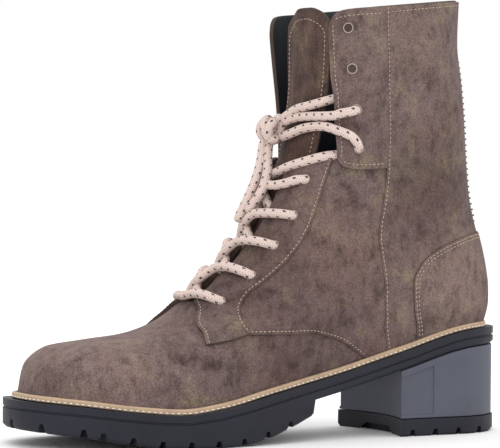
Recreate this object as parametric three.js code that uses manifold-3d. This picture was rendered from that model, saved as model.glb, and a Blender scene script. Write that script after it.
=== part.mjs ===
// Lace-up ankle boot with a lugged block-heel sole, the left one of a pair.
// Millimetres, +Z up, toe towards -X, outer side towards -Y, origin on the floor at mid sole.
import * as THREE from "three";
import { mergeVertices } from "three/addons/utils/BufferGeometryUtils.js";
import Module from "manifold-3d";

const wasm = await Module();
wasm.setup();

// Driving sizes of the last, as the upper wears it
const SOLE_LENGTH = 276;
const BALL_HALF_WIDTH = 43.5;
const ANKLE_HALF_WIDTH = 35;
const UPPER_HEIGHT = 173;
const INFLARE = 4.5;
const WALL = 2.2;
const CLEARANCE = 0.3;
const FRONT_POWER = 2.15;
const BACK_POWER = 2.1;

// Sole unit: a band over a lugged tread that stops at the waist
const BALL_AT = 0.73;
const FORE_THICKNESS = 16.5;
const TOE_THINNING = 3;
const WAIST_THICKNESS = 9;
const HEEL_LIFT = 39.5;
const TOE_SPRING = 7.5;
const FLAT_SETTLE = 0.6;
const TREAD_LENGTH = 147.5;
const STEP_RUN = 1.5;
const SOLE_LEDGE = 4.8;
const BAND_HEIGHT = 3.6;
const BAND_GROOVE = 0.7;
const GROOVE_FLAT = 0.6;
const GROOVE_SLOPE = 0.3;
const EDGE_CHAMFER = 1.6;
const LUG_DEPTH = 3.6;
const LUG_SLOT_WIDTH = 4;
const LUG_SLOT_TOP = 2;
const FIRST_SLOT = 142;
const SLOT_PITCH = 14.5;
const TOE_FAN_AT = 232;
const TOE_FAN_STEP = 30;
const TOE_FAN_SLOTS = 5;
const TOE_FAN_REACH = 0.85;
const CHANNEL_INSET = 15;
const CHANNEL_WIDTH = 3;

// Heel block and the lift under it
const HEEL_LENGTH = 72;
const BREAST_HOLLOW = 7;
const LIFT_HEIGHT = 9;
const HEEL_SLOTS = 5;
const HEEL_PANEL_DEPTH = 0.8;
const HEEL_PANEL_MARGIN = 4;
const HEEL_PANEL_REAR = 0.27;
const HEEL_PANEL_FRONT = 0.36;
const HEEL_INSET = 0.8;

// Welt and insole
const WELT_WIDTH = 2;
const WELT_THICKNESS = 2.8;
const WELT_UP = 0.02;
const SOLE_OUT = WELT_WIDTH + SOLE_LEDGE;
const TREAD_BACK = SOLE_LENGTH - TREAD_LENGTH;
const INSOLE_THICKNESS = 2.5;
const INSOLE_INSET = WALL + 1.8;

// Levels of the upper, as shares of its height at the back
const ZIP_FOOT_UP = 0.075;
const THROAT_UP = 0.345;
const FACING_TOP_UP = 0.7;
const FLAP_CORNER_UP = 0.675;
const SLIDER_UP = 0.945;
const ZIP_TOP_UP = 0.985;

// Opening of the front and the zip slit
const THROAT_HALF_GAP = 4.5;
const FACING_TOP_HALF_GAP = 8.5;
const ZIP_SLIT_HALF = 3.6;
const SHAFT_LAP = 0.05;

// Panels sewn over the upper, flaps and tongue
const OVERLAY_THICKNESS = 1.2;
const SEAM_STEP = 0.9;
const SEAM_GAP = 0.006;
const CUT_DEPTH = 3;
const CUT_REACH = 9;
const FLAP_THICKNESS = 2.2;
const FLAP_LIFT = 0.9;
const FLAP_LOW_CURL = 0.012;
const FLAP_TOP_CURL = 0.02;
const FAR_FLAP_SPREAD = 6;
const TONGUE_THICKNESS = 2.2;

// Eyelets and laces
const EYELET_OUTER = 3.3;
const EYELET_BORE = 2.1;
const EYELET_THICKNESS = 0.9;
const LACE_DIAMETER = 3.8;
const LACE_RADIUS = LACE_DIAMETER / 2;
const EYELET_REACH = 0.031;
const KNOT = { turn: 1.034, up: 0.775, out: 1.84, across: 1.97, high: 1.97, deep: 1.32 };

// Zip
const TAPE_THICKNESS = 0.9;
const TAPE_HALF_WIDTH = 7.5;
const TAPE_DEPTH = WALL + 0.6;
const TOOTH_PITCH = 7;
const TOOTH_WAIST = 0.7;
const TEETH_HALF_WIDTH = 2.3;
const TEETH_PROUD = 0.7;
const TEETH_SEAT = 0.6;
const SLIDER_LENGTH = 9;
const SLIDER_WIDTH = 7.5;
const SLIDER_THICKNESS = 1.6;
const CHEEK_THICKNESS = 1.1;
const CHEEK_HEIGHT = 3;
const PIN_RADIUS = 0.5;
const PULL_LENGTH = 15;
const PULL_WIDTH = 4.2;
const PULL_THICKNESS = 1.2;
const PULL_BARREL = 0.9;
const PIN_OUT = SLIDER_THICKNESS + CLEARANCE + PULL_BARREL;

// Steps of the faceted surfaces
const STEP = 1e-3;
const OUTLINE_STEPS = 26;
const WELT_STEPS = 26;
const INSOLE_STEPS = 18;
const AROUND_STEPS = 9;
const FACING_STEPS = 6;
const VAMP_STEPS = 2;
const UPPER_STOPS = [
  { up: 0, steps: 2 },
  { up: ZIP_FOOT_UP, steps: 6 },
  { up: THROAT_UP, steps: 5 },
  { up: FACING_TOP_UP, steps: 4 },
  { up: 1, steps: 0 },
];
const TONGUE_SIZE = { columns: 8, rows: 11 };
const QUARTER_SIZE = { columns: 2, rows: 8 };
const EYESTAY_SIZE = { columns: 2, rows: 12 };
const COUNTER_SIZE = { columns: 6, rows: 4 };
const FLAP_SIZE = { columns: 8, rows: 8 };
const TAPE_ROWS = 12;
const PANEL_STEPS = 8;
const BREAST_FACETS = 48;
const EYELET_FACETS = 7;
const LACE_SIDES = 6;

// Height of the sole's top edge along the foot, from the heel's back (0) to the toe (1)
const SOLE_LINE = [
  { at: 0.0, lift: 1.0, spring: 0 },
  { at: 0.08, lift: 0.985, spring: 0 },
  { at: 0.26, lift: 0.685, spring: 0 },
  { at: 0.41, lift: 0.42, spring: 0 },
  { at: 0.56, lift: 0.21, spring: 0 },
  { at: 0.66, lift: 0.06, spring: 0 },
  { at: 0.73, lift: 0.0, spring: 0.0 },
  { at: 0.82, lift: 0.0, spring: 0.25 },
  { at: 0.91, lift: 0.0, spring: 0.68 },
  { at: 1.0, lift: 0.0, spring: 1.0 },
];

// Height of the tread's underside over the floor behind its flat, over the heel's lift
const TREAD_LINE = [
  { at: 0.43, raise: 0.42 },
  { at: 0.463, raise: 0.345 },
  { at: 0.49, raise: 0.27 },
  { at: 0.517, raise: 0.19 },
  { at: 0.543, raise: 0.128 },
  { at: 0.571, raise: 0.08 },
  { at: 0.594, raise: 0.046 },
  { at: 0.62, raise: 0.018 },
  { at: 0.65, raise: 0.0 },
  { at: 1.0, raise: 0.0 },
];

// Level lines of the upper. up is the level at the back, as a share of the upper's height.
// back and front are places along the last, as shares of the sole's length, and rise is the
// front's height over the toe's sole, as a share of the upper's height.
const LEVELS = [
  { up: 0.0, back: 0.025, front: 0.975, rise: 0.0 },
  { up: 0.06, back: 0.021, front: 0.963, rise: 0.088 },
  { up: 0.12, back: 0.022, front: 0.915, rise: 0.144 },
  { up: 0.18, back: 0.028, front: 0.852, rise: 0.157 },
  { up: 0.24, back: 0.037, front: 0.789, rise: 0.165 },
  { up: 0.3, back: 0.048, front: 0.726, rise: 0.189 },
  { up: 0.4, back: 0.063, front: 0.636, rise: 0.278 },
  { up: 0.5, back: 0.07, front: 0.559, rise: 0.384 },
  { up: 0.62, back: 0.077, front: 0.489, rise: 0.543 },
  { up: 0.75, back: 0.086, front: 0.442, rise: 0.736 },
  { up: 0.88, back: 0.097, front: 0.42, rise: 0.94 },
  { up: 1.0, back: 0.094, front: 0.418, rise: 1.13 },
];
// Half widths along a level line, heel and waist over the ankle's, ball and toe over the ball's
const WIDTHS = [
  { up: 0.0, heel: 0.76, waist: 0.8, ball: 0.98, toe: 0.84 },
  { up: 0.06, heel: 0.85, waist: 0.88, ball: 0.99, toe: 0.83 },
  { up: 0.12, heel: 0.89, waist: 0.94, ball: 0.95, toe: 0.8 },
  { up: 0.18, heel: 0.9, waist: 0.96, ball: 0.88, toe: 0.75 },
  { up: 0.24, heel: 0.9, waist: 0.96, ball: 0.82, toe: 0.68 },
  { up: 0.3, heel: 0.9, waist: 0.96, ball: 0.77, toe: 0.62 },
  { up: 0.4, heel: 0.92, waist: 0.97, ball: 0.73, toe: 0.6 },
  { up: 0.5, heel: 0.94, waist: 0.98, ball: 0.72, toe: 0.6 },
  { up: 0.62, heel: 0.95, waist: 1.0, ball: 0.74, toe: 0.62 },
  { up: 0.75, heel: 0.98, waist: 1.02, ball: 0.78, toe: 0.68 },
  { up: 0.88, heel: 1.01, waist: 1.05, ball: 0.84, toe: 0.78 },
  { up: 1.0, heel: 1.03, waist: 1.07, ball: 0.87, toe: 0.84 },
];
// How far each end of a level line rounds off, as shares of the sole's length
const ROUNDING = [
  { up: 0.0, back: 0.1, front: 0.15 },
  { up: 0.06, back: 0.11, front: 0.145 },
  { up: 0.12, back: 0.115, front: 0.155 },
  { up: 0.18, back: 0.12, front: 0.165 },
  { up: 0.24, back: 0.12, front: 0.16 },
  { up: 0.3, back: 0.125, front: 0.14 },
  { up: 0.4, back: 0.13, front: 0.115 },
  { up: 0.5, back: 0.13, front: 0.1 },
  { up: 0.62, back: 0.135, front: 0.09 },
  { up: 0.75, back: 0.14, front: 0.085 },
  { up: 1.0, back: 0.14, front: 0.085 },
];
// Places of the four half widths along a level line
const WIDTH_AT = { heel: 0.1, waist: 0.42, ball: 0.7, toe: 0.88 };
// Sideways bend of the last's middle line, over the inflare, inwards positive
const BEND = [
  { at: 0.0, shift: 0 },
  { at: 0.2, shift: -0.1 },
  { at: 0.48, shift: -1.0 },
  { at: 0.72, shift: 0.1 },
  { at: 0.88, shift: 0.5 },
  { at: 1.0, shift: 0.5 },
];
// How far the sole line's dip and the bend still show at a level
const FOLLOW = [
  { up: 0.0, share: 1.0 },
  { up: 0.12, share: 0.9 },
  { up: 0.3, share: 0.52 },
  { up: 0.5, share: 0.15 },
  { up: 0.7, share: 0.0 },
  { up: 1.0, share: 0.0 },
];

// Seam where the front flap is sewn on: turn round the last at a level
const FLAP_SEAM = [
  { up: 0.62, turn: 0.515 },
  { up: 0.72, turn: 0.545 },
  { up: 0.81, turn: 0.578 },
  { up: 0.905, turn: 0.6 },
  { up: 1.0, turn: 0.612 },
];

// Value of a named column of a table at x, on a smooth curve that never overshoots a row
function readTable(rows, key, name, x) {
  const last = rows.length - 1;
  const slope = (k) => (rows[k + 1][name] - rows[k][name]) / (rows[k + 1][key] - rows[k][key]);
  const tangent = (k) => {
    if (k === 0) return slope(0);
    if (k === last) return slope(last - 1);
    const [a, b] = [slope(k - 1), slope(k)];
    return a * b <= 0 ? 0 : (2 * a * b) / (a + b);
  };
  if (x >= rows[last][key]) return rows[last][name] + tangent(last) * (x - rows[last][key]);
  let i = 0;
  while (i < last - 1 && x > rows[i + 1][key]) i++;
  const h = rows[i + 1][key] - rows[i][key];
  const s = (x - rows[i][key]) / h;
  const [p, q] = [rows[i][name], rows[i + 1][name]];
  const [m, n] = [tangent(i) * h, tangent(i + 1) * h];
  const c = q - p;
  return p + s * (m + s * (3 * c - 2 * m - n + s * (m + n - 2 * c)));
}

const firstUp = (rows) => rows[0].up;
const lastUp = (rows) => rows[rows.length - 1].up;

// Height of the sole's top edge at a place along the boot
function soleTop(along) {
  const at = along / SOLE_LENGTH;
  const lift = readTable(SOLE_LINE, "at", "lift", at) * HEEL_LIFT;
  const spring = readTable(SOLE_LINE, "at", "spring", at) * TOE_SPRING;
  return FORE_THICKNESS + lift + spring;
}

// Rounds off an end: 0 at the end itself, 1 from reach onwards
function roundOff(distance, reach, power) {
  const left = 1 - Math.min(Math.max(distance / reach, 0), 1);
  return (1 - left ** power) ** (1 / power);
}

// The sizes of one level line of the upper
function levelSizes(up) {
  const read = (rows, name) => readTable(rows, "up", name, up);
  return {
    back: read(LEVELS, "back") * SOLE_LENGTH,
    front: read(LEVELS, "front") * SOLE_LENGTH,
    follow: read(FOLLOW, "share"),
    widths: [
      { at: WIDTH_AT.heel, half: read(WIDTHS, "heel") * ANKLE_HALF_WIDTH },
      { at: WIDTH_AT.waist, half: read(WIDTHS, "waist") * ANKLE_HALF_WIDTH },
      { at: WIDTH_AT.ball, half: read(WIDTHS, "ball") * BALL_HALF_WIDTH },
      { at: WIDTH_AT.toe, half: read(WIDTHS, "toe") * BALL_HALF_WIDTH },
    ],
    roundBack: read(ROUNDING, "back") * SOLE_LENGTH,
    roundFront: read(ROUNDING, "front") * SOLE_LENGTH,
    backHeight: soleTop(0) + CLEARANCE + up * UPPER_HEIGHT,
    frontHeight: soleTop(SOLE_LENGTH) + CLEARANCE + read(LEVELS, "rise") * UPPER_HEIGHT,
  };
}

const levelStore = new Map();
function level(up) {
  if (!levelStore.has(up)) levelStore.set(up, levelSizes(up));
  return levelStore.get(up);
}

// Half width of a level line at a share of its length, before its ends round off
function halfWidth(sizes, share) {
  const held = Math.min(Math.max(share, WIDTH_AT.heel), WIDTH_AT.toe);
  return readTable(sizes.widths, "at", "half", held);
}

// How far the sole's top edge lies from a straight line between heel and toe
function soleDip(along) {
  const straight = THREE.MathUtils.lerp(soleTop(0), soleTop(SOLE_LENGTH), along / SOLE_LENGTH);
  return soleTop(along) - straight;
}

// A point on the outside of the last. turn runs round it: 0 at the back's middle, up to 1 at
// the front's middle along the outer side, and on to 2 along the inner side.
function lastPoint(turn, up) {
  const wrapped = ((turn % 2) + 2) % 2;
  const outer = wrapped <= 1;
  const around = outer ? wrapped : 2 - wrapped;
  const sizes = level(up);
  const share = (1 - Math.cos(Math.PI * around)) / 2;
  const along = THREE.MathUtils.lerp(sizes.back, sizes.front, share);
  const half =
    halfWidth(sizes, share) *
    roundOff(along - sizes.back, sizes.roundBack, BACK_POWER) *
    roundOff(sizes.front - along, sizes.roundFront, FRONT_POWER);
  const bend = readTable(BEND, "at", "shift", along / SOLE_LENGTH) * INFLARE * sizes.follow;
  const backBase = sizes.backHeight - sizes.follow * soleDip(sizes.back);
  const frontBase = sizes.frontHeight - sizes.follow * soleDip(sizes.front);
  const height = THREE.MathUtils.lerp(backBase, frontBase, share) + sizes.follow * soleDip(along);
  return new THREE.Vector3(SOLE_LENGTH / 2 - along, (outer ? -half : half) + bend, height);
}

// A point at a distance out from the last's surface
function surface(turn, up, out) {
  const point = lastPoint(turn, up);
  if (out === 0) return point;
  const round = lastPoint(turn + STEP, up).sub(lastPoint(turn - STEP, up));
  const low = Math.max(up - STEP, 0);
  const rise = lastPoint(turn, up + STEP).sub(lastPoint(turn, low));
  return point.addScaledVector(rise.cross(round).normalize(), out);
}

// Turns at which a level line is a given distance from the middle, near the back or the front
function turnNearBack(up, half) {
  const sizes = level(up);
  const ratio = half / halfWidth(sizes, 0);
  const distance = sizes.roundBack * (1 - (1 - ratio ** BACK_POWER) ** (1 / BACK_POWER));
  return Math.acos(1 - (2 * distance) / (sizes.front - sizes.back)) / Math.PI;
}
function turnNearFront(up, half) {
  const sizes = level(up);
  const ratio = half / halfWidth(sizes, 1);
  const distance = sizes.roundFront * (1 - (1 - ratio ** FRONT_POWER) ** (1 / FRONT_POWER));
  return 1 - Math.acos(1 - (2 * distance) / (sizes.front - sizes.back)) / Math.PI;
}

// Turns of the edges of the opening at a level
function facingTurn(up) {
  const share = (Math.max(up, THROAT_UP) - THROAT_UP) / (FACING_TOP_UP - THROAT_UP);
  const half = THREE.MathUtils.lerp(THROAT_HALF_GAP, FACING_TOP_HALF_GAP, Math.min(share, 1));
  return turnNearFront(up, half);
}
function shaftTurn(up) {
  return readTable(FLAP_SEAM, "up", "turn", Math.max(up, FLAP_SEAM[0].up)) + SHAFT_LAP;
}

// A closed body between an outer and an inner layer of a grid of points. at(i, j, layer) gives
// a point, layer 1 outside, and has(i, j) says whether a cell of the grid is there.
function shell(columns, rows, at, has, wrap = false) {
  const positions = [];
  const columnCount = wrap ? columns : columns + 1;
  const seen = new Map();
  const id = (i, j, layer) => {
    const key = ((i % columnCount) * (rows + 1) + j) * 2 + layer;
    if (!seen.has(key)) {
      seen.set(key, positions.length / 3);
      positions.push(...at(i % columnCount, j, layer).toArray());
    }
    return seen.get(key);
  };
  const there = (i, j) => {
    if (j < 0 || j >= rows) return false;
    if (wrap) return has((i + columns) % columns, j);
    return i >= 0 && i < columns && has(i, j);
  };
  const index = [];
  const quad = (a, b, c, d) => index.push(a, b, c, a, c, d);
  for (let i = 0; i < columns; i++) {
    for (let j = 0; j < rows; j++) {
      if (!there(i, j)) continue;
      const [o00, o01] = [id(i, j, 1), id(i, j + 1, 1)];
      const [o10, o11] = [id(i + 1, j, 1), id(i + 1, j + 1, 1)];
      const [n00, n01] = [id(i, j, 0), id(i, j + 1, 0)];
      const [n10, n11] = [id(i + 1, j, 0), id(i + 1, j + 1, 0)];
      quad(o00, o01, o11, o10);
      quad(n00, n10, n11, n01);
      if (!there(i, j - 1)) quad(o00, o10, n10, n00);
      if (!there(i, j + 1)) quad(o11, o01, n01, n11);
      if (!there(i - 1, j)) quad(o01, o00, n00, n01);
      if (!there(i + 1, j)) quad(o10, o11, n11, n10);
    }
  }
  const geometry = new THREE.BufferGeometry();
  geometry.setAttribute("position", new THREE.Float32BufferAttribute(positions, 3));
  geometry.setIndex(index);
  return geometry;
}

function solidOf(geometry) {
  const bare = geometry.clone();
  bare.deleteAttribute("normal");
  bare.deleteAttribute("uv");
  const merged = mergeVertices(bare, 1e-4);
  const mesh = new wasm.Mesh({
    numProp: 3,
    vertProperties: merged.attributes.position.array,
    triVerts: new Uint32Array(merged.index.array),
  });
  return new wasm.Manifold(mesh);
}

function geometryOf(solid) {
  const mesh = solid.getMesh();
  const geometry = new THREE.BufferGeometry();
  const positions = [];
  for (let i = 0; i < mesh.numVert; i++) {
    positions.push(...mesh.vertProperties.subarray(i * mesh.numProp, i * mesh.numProp + 3));
  }
  geometry.setAttribute("position", new THREE.Float32BufferAttribute(positions, 3));
  geometry.setIndex(Array.from(mesh.triVerts));
  return geometry;
}

const FINISHES = {
  suede: { color: 0x7c6a62, roughness: 0.95, metalness: 0 },
  lining: { color: 0x23262e, roughness: 0.6, metalness: 0 },
  rubber: { color: 0x26262b, roughness: 0.6, metalness: 0 },
  welt: { color: 0xc9a98a, roughness: 0.7, metalness: 0 },
  lace: { color: 0xe3cfc6, roughness: 0.9, metalness: 0 },
  metal: { color: 0x8d8178, roughness: 0.35, metalness: 1 },
};
const boot = new THREE.Group();
boot.name = "lace_up_ankle_boot";
function add(name, finish, geometry, parent = boot) {
  const mesh = new THREE.Mesh(geometry, new THREE.MeshStandardMaterial(FINISHES[finish]));
  mesh.name = name;
  parent.add(mesh);
  return mesh;
}

// Upper: one wall, open at the collar, the front, the zip slit and underneath
function upperRows() {
  const rows = [];
  UPPER_STOPS.slice(0, -1).forEach((stop, k) => {
    for (let s = 0; s < stop.steps; s++) {
      rows.push(THREE.MathUtils.lerp(stop.up, UPPER_STOPS[k + 1].up, s / stop.steps));
    }
  });
  rows.push(1);
  return rows;
}
// Turns of one half's grid columns, from the back's middle to the front's middle. Below the
// opening they spread evenly, so that the toe is as round as the heel.
function upperColumns(up) {
  const slit = turnNearBack(up, ZIP_SLIT_HALF);
  const shaft = shaftTurn(up);
  const facing = facingTurn(up);
  const turns = [0, slit];
  const spread = (from, to, steps) => {
    for (let s = 1; s <= steps; s++) turns.push(THREE.MathUtils.lerp(from, to, s / steps));
  };
  spread(slit, shaft, AROUND_STEPS);
  spread(shaft, facing, FACING_STEPS);
  spread(facing, 1, VAMP_STEPS);
  const drawn = THREE.MathUtils.smoothstep(up, 0, THROAT_UP);
  const even = (k) => THREE.MathUtils.lerp(slit, 1, (k - 1) / (turns.length - 2));
  return turns.map((turn, k) => (k < 2 ? turn : THREE.MathUtils.lerp(even(k), turn, drawn)));
}
// A body over the upper's grid, from one distance out to another, where has says so
function upperShell(near, far, has) {
  const rows = upperRows();
  const halves = rows.map(upperColumns);
  const half = halves[0].length - 1;
  const turnAt = (i, j) => (i <= half ? halves[j][i] : 2 - halves[j][2 * half - i]);
  const at = (i, j, layer) => surface(turnAt(i, j), rows[j], layer ? far : near);
  return shell(2 * half, rows.length - 1, at, has, true);
}
function upperGeometry() {
  const rows = upperRows();
  const half = upperColumns(0).length - 1;
  const has = (i, j) => {
    const column = i < half ? i : 2 * half - 1 - i;
    const middle = (rows[j] + rows[j + 1]) / 2;
    if (column === 0) return middle < ZIP_FOOT_UP;
    if (column >= half - VAMP_STEPS) return middle < THROAT_UP;
    if (column >= half - VAMP_STEPS - FACING_STEPS) return middle < FACING_TOP_UP;
    return true;
  };
  return upperShell(-WALL, 0, has);
}

// Half of the foot's outline as turns, even but for extra ones at the places named in mm
// along the boot
function outlineTurns(count, places = []) {
  const sizes = level(0);
  const turnAt = (along) => {
    const share = (along - sizes.back) / (sizes.front - sizes.back);
    return Math.acos(1 - 2 * Math.min(Math.max(share, 0), 1)) / Math.PI;
  };
  const extra = places.map(turnAt);
  const even = Array.from({ length: count + 1 }, (_, k) => k / count);
  const kept = even.filter((turn) => extra.every((other) => Math.abs(other - turn) * count > 0.35));
  return [...kept, ...extra].sort((p, q) => p - q);
}

// A point of the outline at a distance out from the upper's lower edge
function edgePoint(turn, out) {
  const here = lastPoint(turn, 0);
  const along = lastPoint(turn + STEP, 0).sub(lastPoint(turn - STEP, 0));
  const aside = new THREE.Vector2(-along.y, along.x).normalize();
  return new THREE.Vector2(here.x, here.y).addScaledVector(aside, out);
}
const alongOf = (point) => SOLE_LENGTH / 2 - point.x;

// A closed body of outlines stacked from the bottom up. Each layer has its distance out and
// its height as a function of the place along the boot. Its ends are ruled from side to side.
const bothSides = (half) => [...half, ...half.slice(1, -1).reverse().map((turn) => 2 - turn)];
function stack(halfTurns, layers) {
  const turns = bothSides(halfTurns);
  const n = turns.length;
  const positions = [];
  layers.forEach(({ out, height }) => {
    turns.forEach((turn) => {
      const point = edgePoint(turn, out);
      positions.push(point.x, point.y, height(alongOf(edgePoint(turn, 0))));
    });
  });
  const index = [];
  const tri = (a, b, c) => {
    if (a !== b && b !== c && a !== c) index.push(a, b, c);
  };
  for (let k = 0; k + 1 < layers.length; k++) {
    for (let i = 0; i < n; i++) {
      const [a, b] = [k * n + i, k * n + ((i + 1) % n)];
      tri(a, a + n, b + n);
      tri(a, b + n, b);
    }
  }
  const top = (layers.length - 1) * n;
  for (let i = 0; i < n / 2; i++) {
    const [a, b, c, d] = [i, i + 1, (n - i - 1) % n, (n - i) % n];
    tri(a, b, c);
    tri(a, c, d);
    tri(top + a, top + d, top + c);
    tri(top + a, top + c, top + b);
  }
  const geometry = new THREE.BufferGeometry();
  geometry.setAttribute("position", new THREE.Float32BufferAttribute(positions, 3));
  geometry.setIndex(index);
  return geometry;
}

// Height of the sole's underside at a place along the boot
function soleBottom(along) {
  const at = along / SOLE_LENGTH;
  if (along < TREAD_BACK) return soleTop(along) - WAIST_THICKNESS;
  if (at < BALL_AT) return readTable(TREAD_LINE, "at", "raise", at) * HEEL_LIFT;
  const thin = (at - BALL_AT) / (1 - BALL_AT);
  return Math.max(soleTop(along) - FORE_THICKNESS + thin * TOE_THINNING - FLAT_SETTLE, 0);
}
function prism(profile, length) {
  const shape = new THREE.Shape(profile.map(([x, y]) => new THREE.Vector2(x, y)));
  const geometry = new THREE.ExtrudeGeometry(shape, { depth: length, bevelEnabled: false });
  return geometry.translate(0, 0, -length / 2);
}
// A tapered slot across a tread: its middle line runs along Y before it is turned
function slotTool(length, depth) {
  const low = LUG_SLOT_WIDTH / 2;
  const high = LUG_SLOT_TOP / 2;
  const under = 3 * depth;
  const profile = [
    [-low, -under],
    [low, -under],
    [low, 0],
    [high, depth],
    [-high, depth],
    [-low, 0],
  ];
  return prism(profile, length).rotateX(Math.PI / 2);
}
// Slots straight across the tread, and a fan of short ones round the toe
function treadSlots() {
  const tools = [];
  const across = 3 * BALL_HALF_WIDTH;
  for (let along = FIRST_SLOT; along < TOE_FAN_AT + SLOT_PITCH; along += SLOT_PITCH) {
    const slot = slotTool(across, LUG_DEPTH);
    tools.push(slot.translate(SOLE_LENGTH / 2 - along, 0, soleBottom(along)));
  }
  const reach = SOLE_LENGTH - TOE_FAN_AT;
  for (let k = 0; k < TOE_FAN_SLOTS; k++) {
    const angle = THREE.MathUtils.degToRad((k - (TOE_FAN_SLOTS - 1) / 2) * TOE_FAN_STEP);
    const edge = soleBottom(TOE_FAN_AT + reach * Math.cos(angle));
    const slot = slotTool(reach / 2, LUG_DEPTH).translate(0, reach * TOE_FAN_REACH, edge);
    tools.push(slot.rotateZ(Math.PI / 2 + angle).translate(SOLE_LENGTH / 2 - TOE_FAN_AT, 0, 0));
  }
  return tools;
}
// A groove that follows a tread's outline, inset from its edge
function channelTool(halfTurns, bottom, depth) {
  const turns = bothSides(halfTurns);
  const at = (i, j, layer) => {
    const point = edgePoint(turns[i], SOLE_OUT - CHANNEL_INSET - (layer ? 0 : CHANNEL_WIDTH));
    const low = bottom(alongOf(point));
    return new THREE.Vector3(point.x, point.y, j ? low + depth : low - 3 * depth);
  };
  return shell(turns.length, 1, at, () => true, true);
}
function cut(geometry, tools) {
  return tools.reduce((solid, tool) => solid.subtract(solidOf(tool)), solidOf(geometry));
}
function outsoleGeometry() {
  const turns = outlineTurns(OUTLINE_STEPS, [TREAD_BACK, TREAD_BACK - STEP_RUN]);
  const below = (depth) => (along) => soleTop(along) - depth;
  const above = (height) => (along) => soleBottom(along) + height;
  const grooveTop = BAND_HEIGHT + GROOVE_SLOPE;
  const grooveFoot = grooveTop + GROOVE_FLAT;
  const body = stack(turns, [
    { out: SOLE_OUT - EDGE_CHAMFER, height: above(0) },
    { out: SOLE_OUT, height: above(EDGE_CHAMFER) },
    { out: SOLE_OUT, height: below(grooveFoot + GROOVE_SLOPE) },
    { out: SOLE_OUT - BAND_GROOVE, height: below(grooveFoot) },
    { out: SOLE_OUT - BAND_GROOVE, height: below(grooveTop) },
    { out: SOLE_OUT, height: below(BAND_HEIGHT) },
    { out: SOLE_OUT, height: below(0) },
  ]);
  const channel = channelTool(outlineTurns(OUTLINE_STEPS / 2), soleBottom, LUG_DEPTH);
  const behind = new THREE.BoxGeometry(SOLE_LENGTH, 4 * BALL_HALF_WIDTH, 4 * HEEL_LIFT);
  behind.translate(SOLE_LENGTH - FIRST_SLOT, 0, 0);
  const ring = solidOf(channel).subtract(solidOf(behind));
  return geometryOf(cut(body, treadSlots()).subtract(ring));
}
add("outsole", "rubber", outsoleGeometry());

// Heel: a block with a hollowed breast and sunk side panels, and a lugged lift below it
function breastTool() {
  const half = ANKLE_HALF_WIDTH;
  const radius = (half ** 2 + BREAST_HOLLOW ** 2) / (2 * BREAST_HOLLOW);
  const round = new THREE.CylinderGeometry(radius, radius, 4 * HEEL_LIFT, BREAST_FACETS);
  round.rotateX(Math.PI / 2).translate(SOLE_LENGTH / 2 - HEEL_LENGTH + BREAST_HOLLOW - radius, 0, 0);
  const front = new THREE.BoxGeometry(SOLE_LENGTH, 4 * BALL_HALF_WIDTH, 4 * HEEL_LIFT);
  front.translate(-HEEL_LENGTH, 0, 0);
  return solidOf(round).add(solidOf(front));
}
const heelTurns = outlineTurns(OUTLINE_STEPS);
function panelTool(side) {
  const at = (i, j, layer) => {
    const share = (side < 0 ? i : PANEL_STEPS - i) / PANEL_STEPS;
    const round = THREE.MathUtils.lerp(HEEL_PANEL_REAR, HEEL_PANEL_FRONT, share);
    const turn = side < 0 ? round : 2 - round;
    const out = SOLE_OUT - HEEL_INSET - HEEL_PANEL_DEPTH + (layer ? 3 * SOLE_LEDGE : 0);
    const point = edgePoint(turn, out);
    const top = soleTop(alongOf(edgePoint(turn, 0))) - WAIST_THICKNESS - HEEL_PANEL_MARGIN;
    return new THREE.Vector3(point.x, point.y, j ? top : LIFT_HEIGHT + HEEL_PANEL_MARGIN / 2);
  };
  return solidOf(shell(PANEL_STEPS, 1, at, () => true));
}
function heelGeometry() {
  const out = SOLE_OUT - HEEL_INSET;
  const top = (along) => soleTop(along) - WAIST_THICKNESS - CLEARANCE;
  const body = stack(heelTurns, [
    { out, height: () => LIFT_HEIGHT + CLEARANCE },
    { out, height: (along) => Math.max(top(along), LIFT_HEIGHT + 1) },
  ]);
  const solid = solidOf(body).subtract(breastTool());
  return geometryOf(solid.subtract(panelTool(-1)).subtract(panelTool(1)));
}
add("heel_block", "rubber", heelGeometry());
function liftGeometry() {
  const body = stack(heelTurns, [
    { out: SOLE_OUT - EDGE_CHAMFER, height: () => 0 },
    { out: SOLE_OUT, height: () => EDGE_CHAMFER },
    { out: SOLE_OUT, height: () => LIFT_HEIGHT },
  ]);
  const lengthwise = slotTool(HEEL_LENGTH, LUG_DEPTH).rotateZ(Math.PI / 2);
  const slots = [lengthwise.translate(SOLE_LENGTH / 2, 0, 0)];
  for (let k = 0; k < HEEL_SLOTS - 1; k++) {
    const along = HEEL_LENGTH * (1 - (k + 0.5) / HEEL_SLOTS);
    slots.push(slotTool(3 * BALL_HALF_WIDTH, LUG_DEPTH).translate(SOLE_LENGTH / 2 - along, 0, 0));
  }
  return geometryOf(cut(body, slots).subtract(breastTool()));
}
add("heel_top_lift", "rubber", liftGeometry());

// Welt: a strip that lies on the sole's edge, round the upper
function weltGeometry() {
  const turns = bothSides(outlineTurns(WELT_STEPS));
  const at = (i, j, layer) => {
    const turn = turns[i];
    const base = edgePoint(turn, 0);
    const away = edgePoint(turn, 1).sub(base);
    const above = lastPoint(turn, WELT_UP);
    const bulge = Math.max(new THREE.Vector2(above.x, above.y).sub(base).dot(away), 0);
    const out = layer ? bulge + CLEARANCE + WELT_WIDTH : bulge + CLEARANCE;
    const point = edgePoint(turn, out);
    const height = soleTop(alongOf(base)) + CLEARANCE + j * WELT_THICKNESS;
    return new THREE.Vector3(point.x, point.y, height);
  };
  return shell(turns.length, 1, at, () => true, true);
}
add("welt", "welt", weltGeometry());

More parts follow.
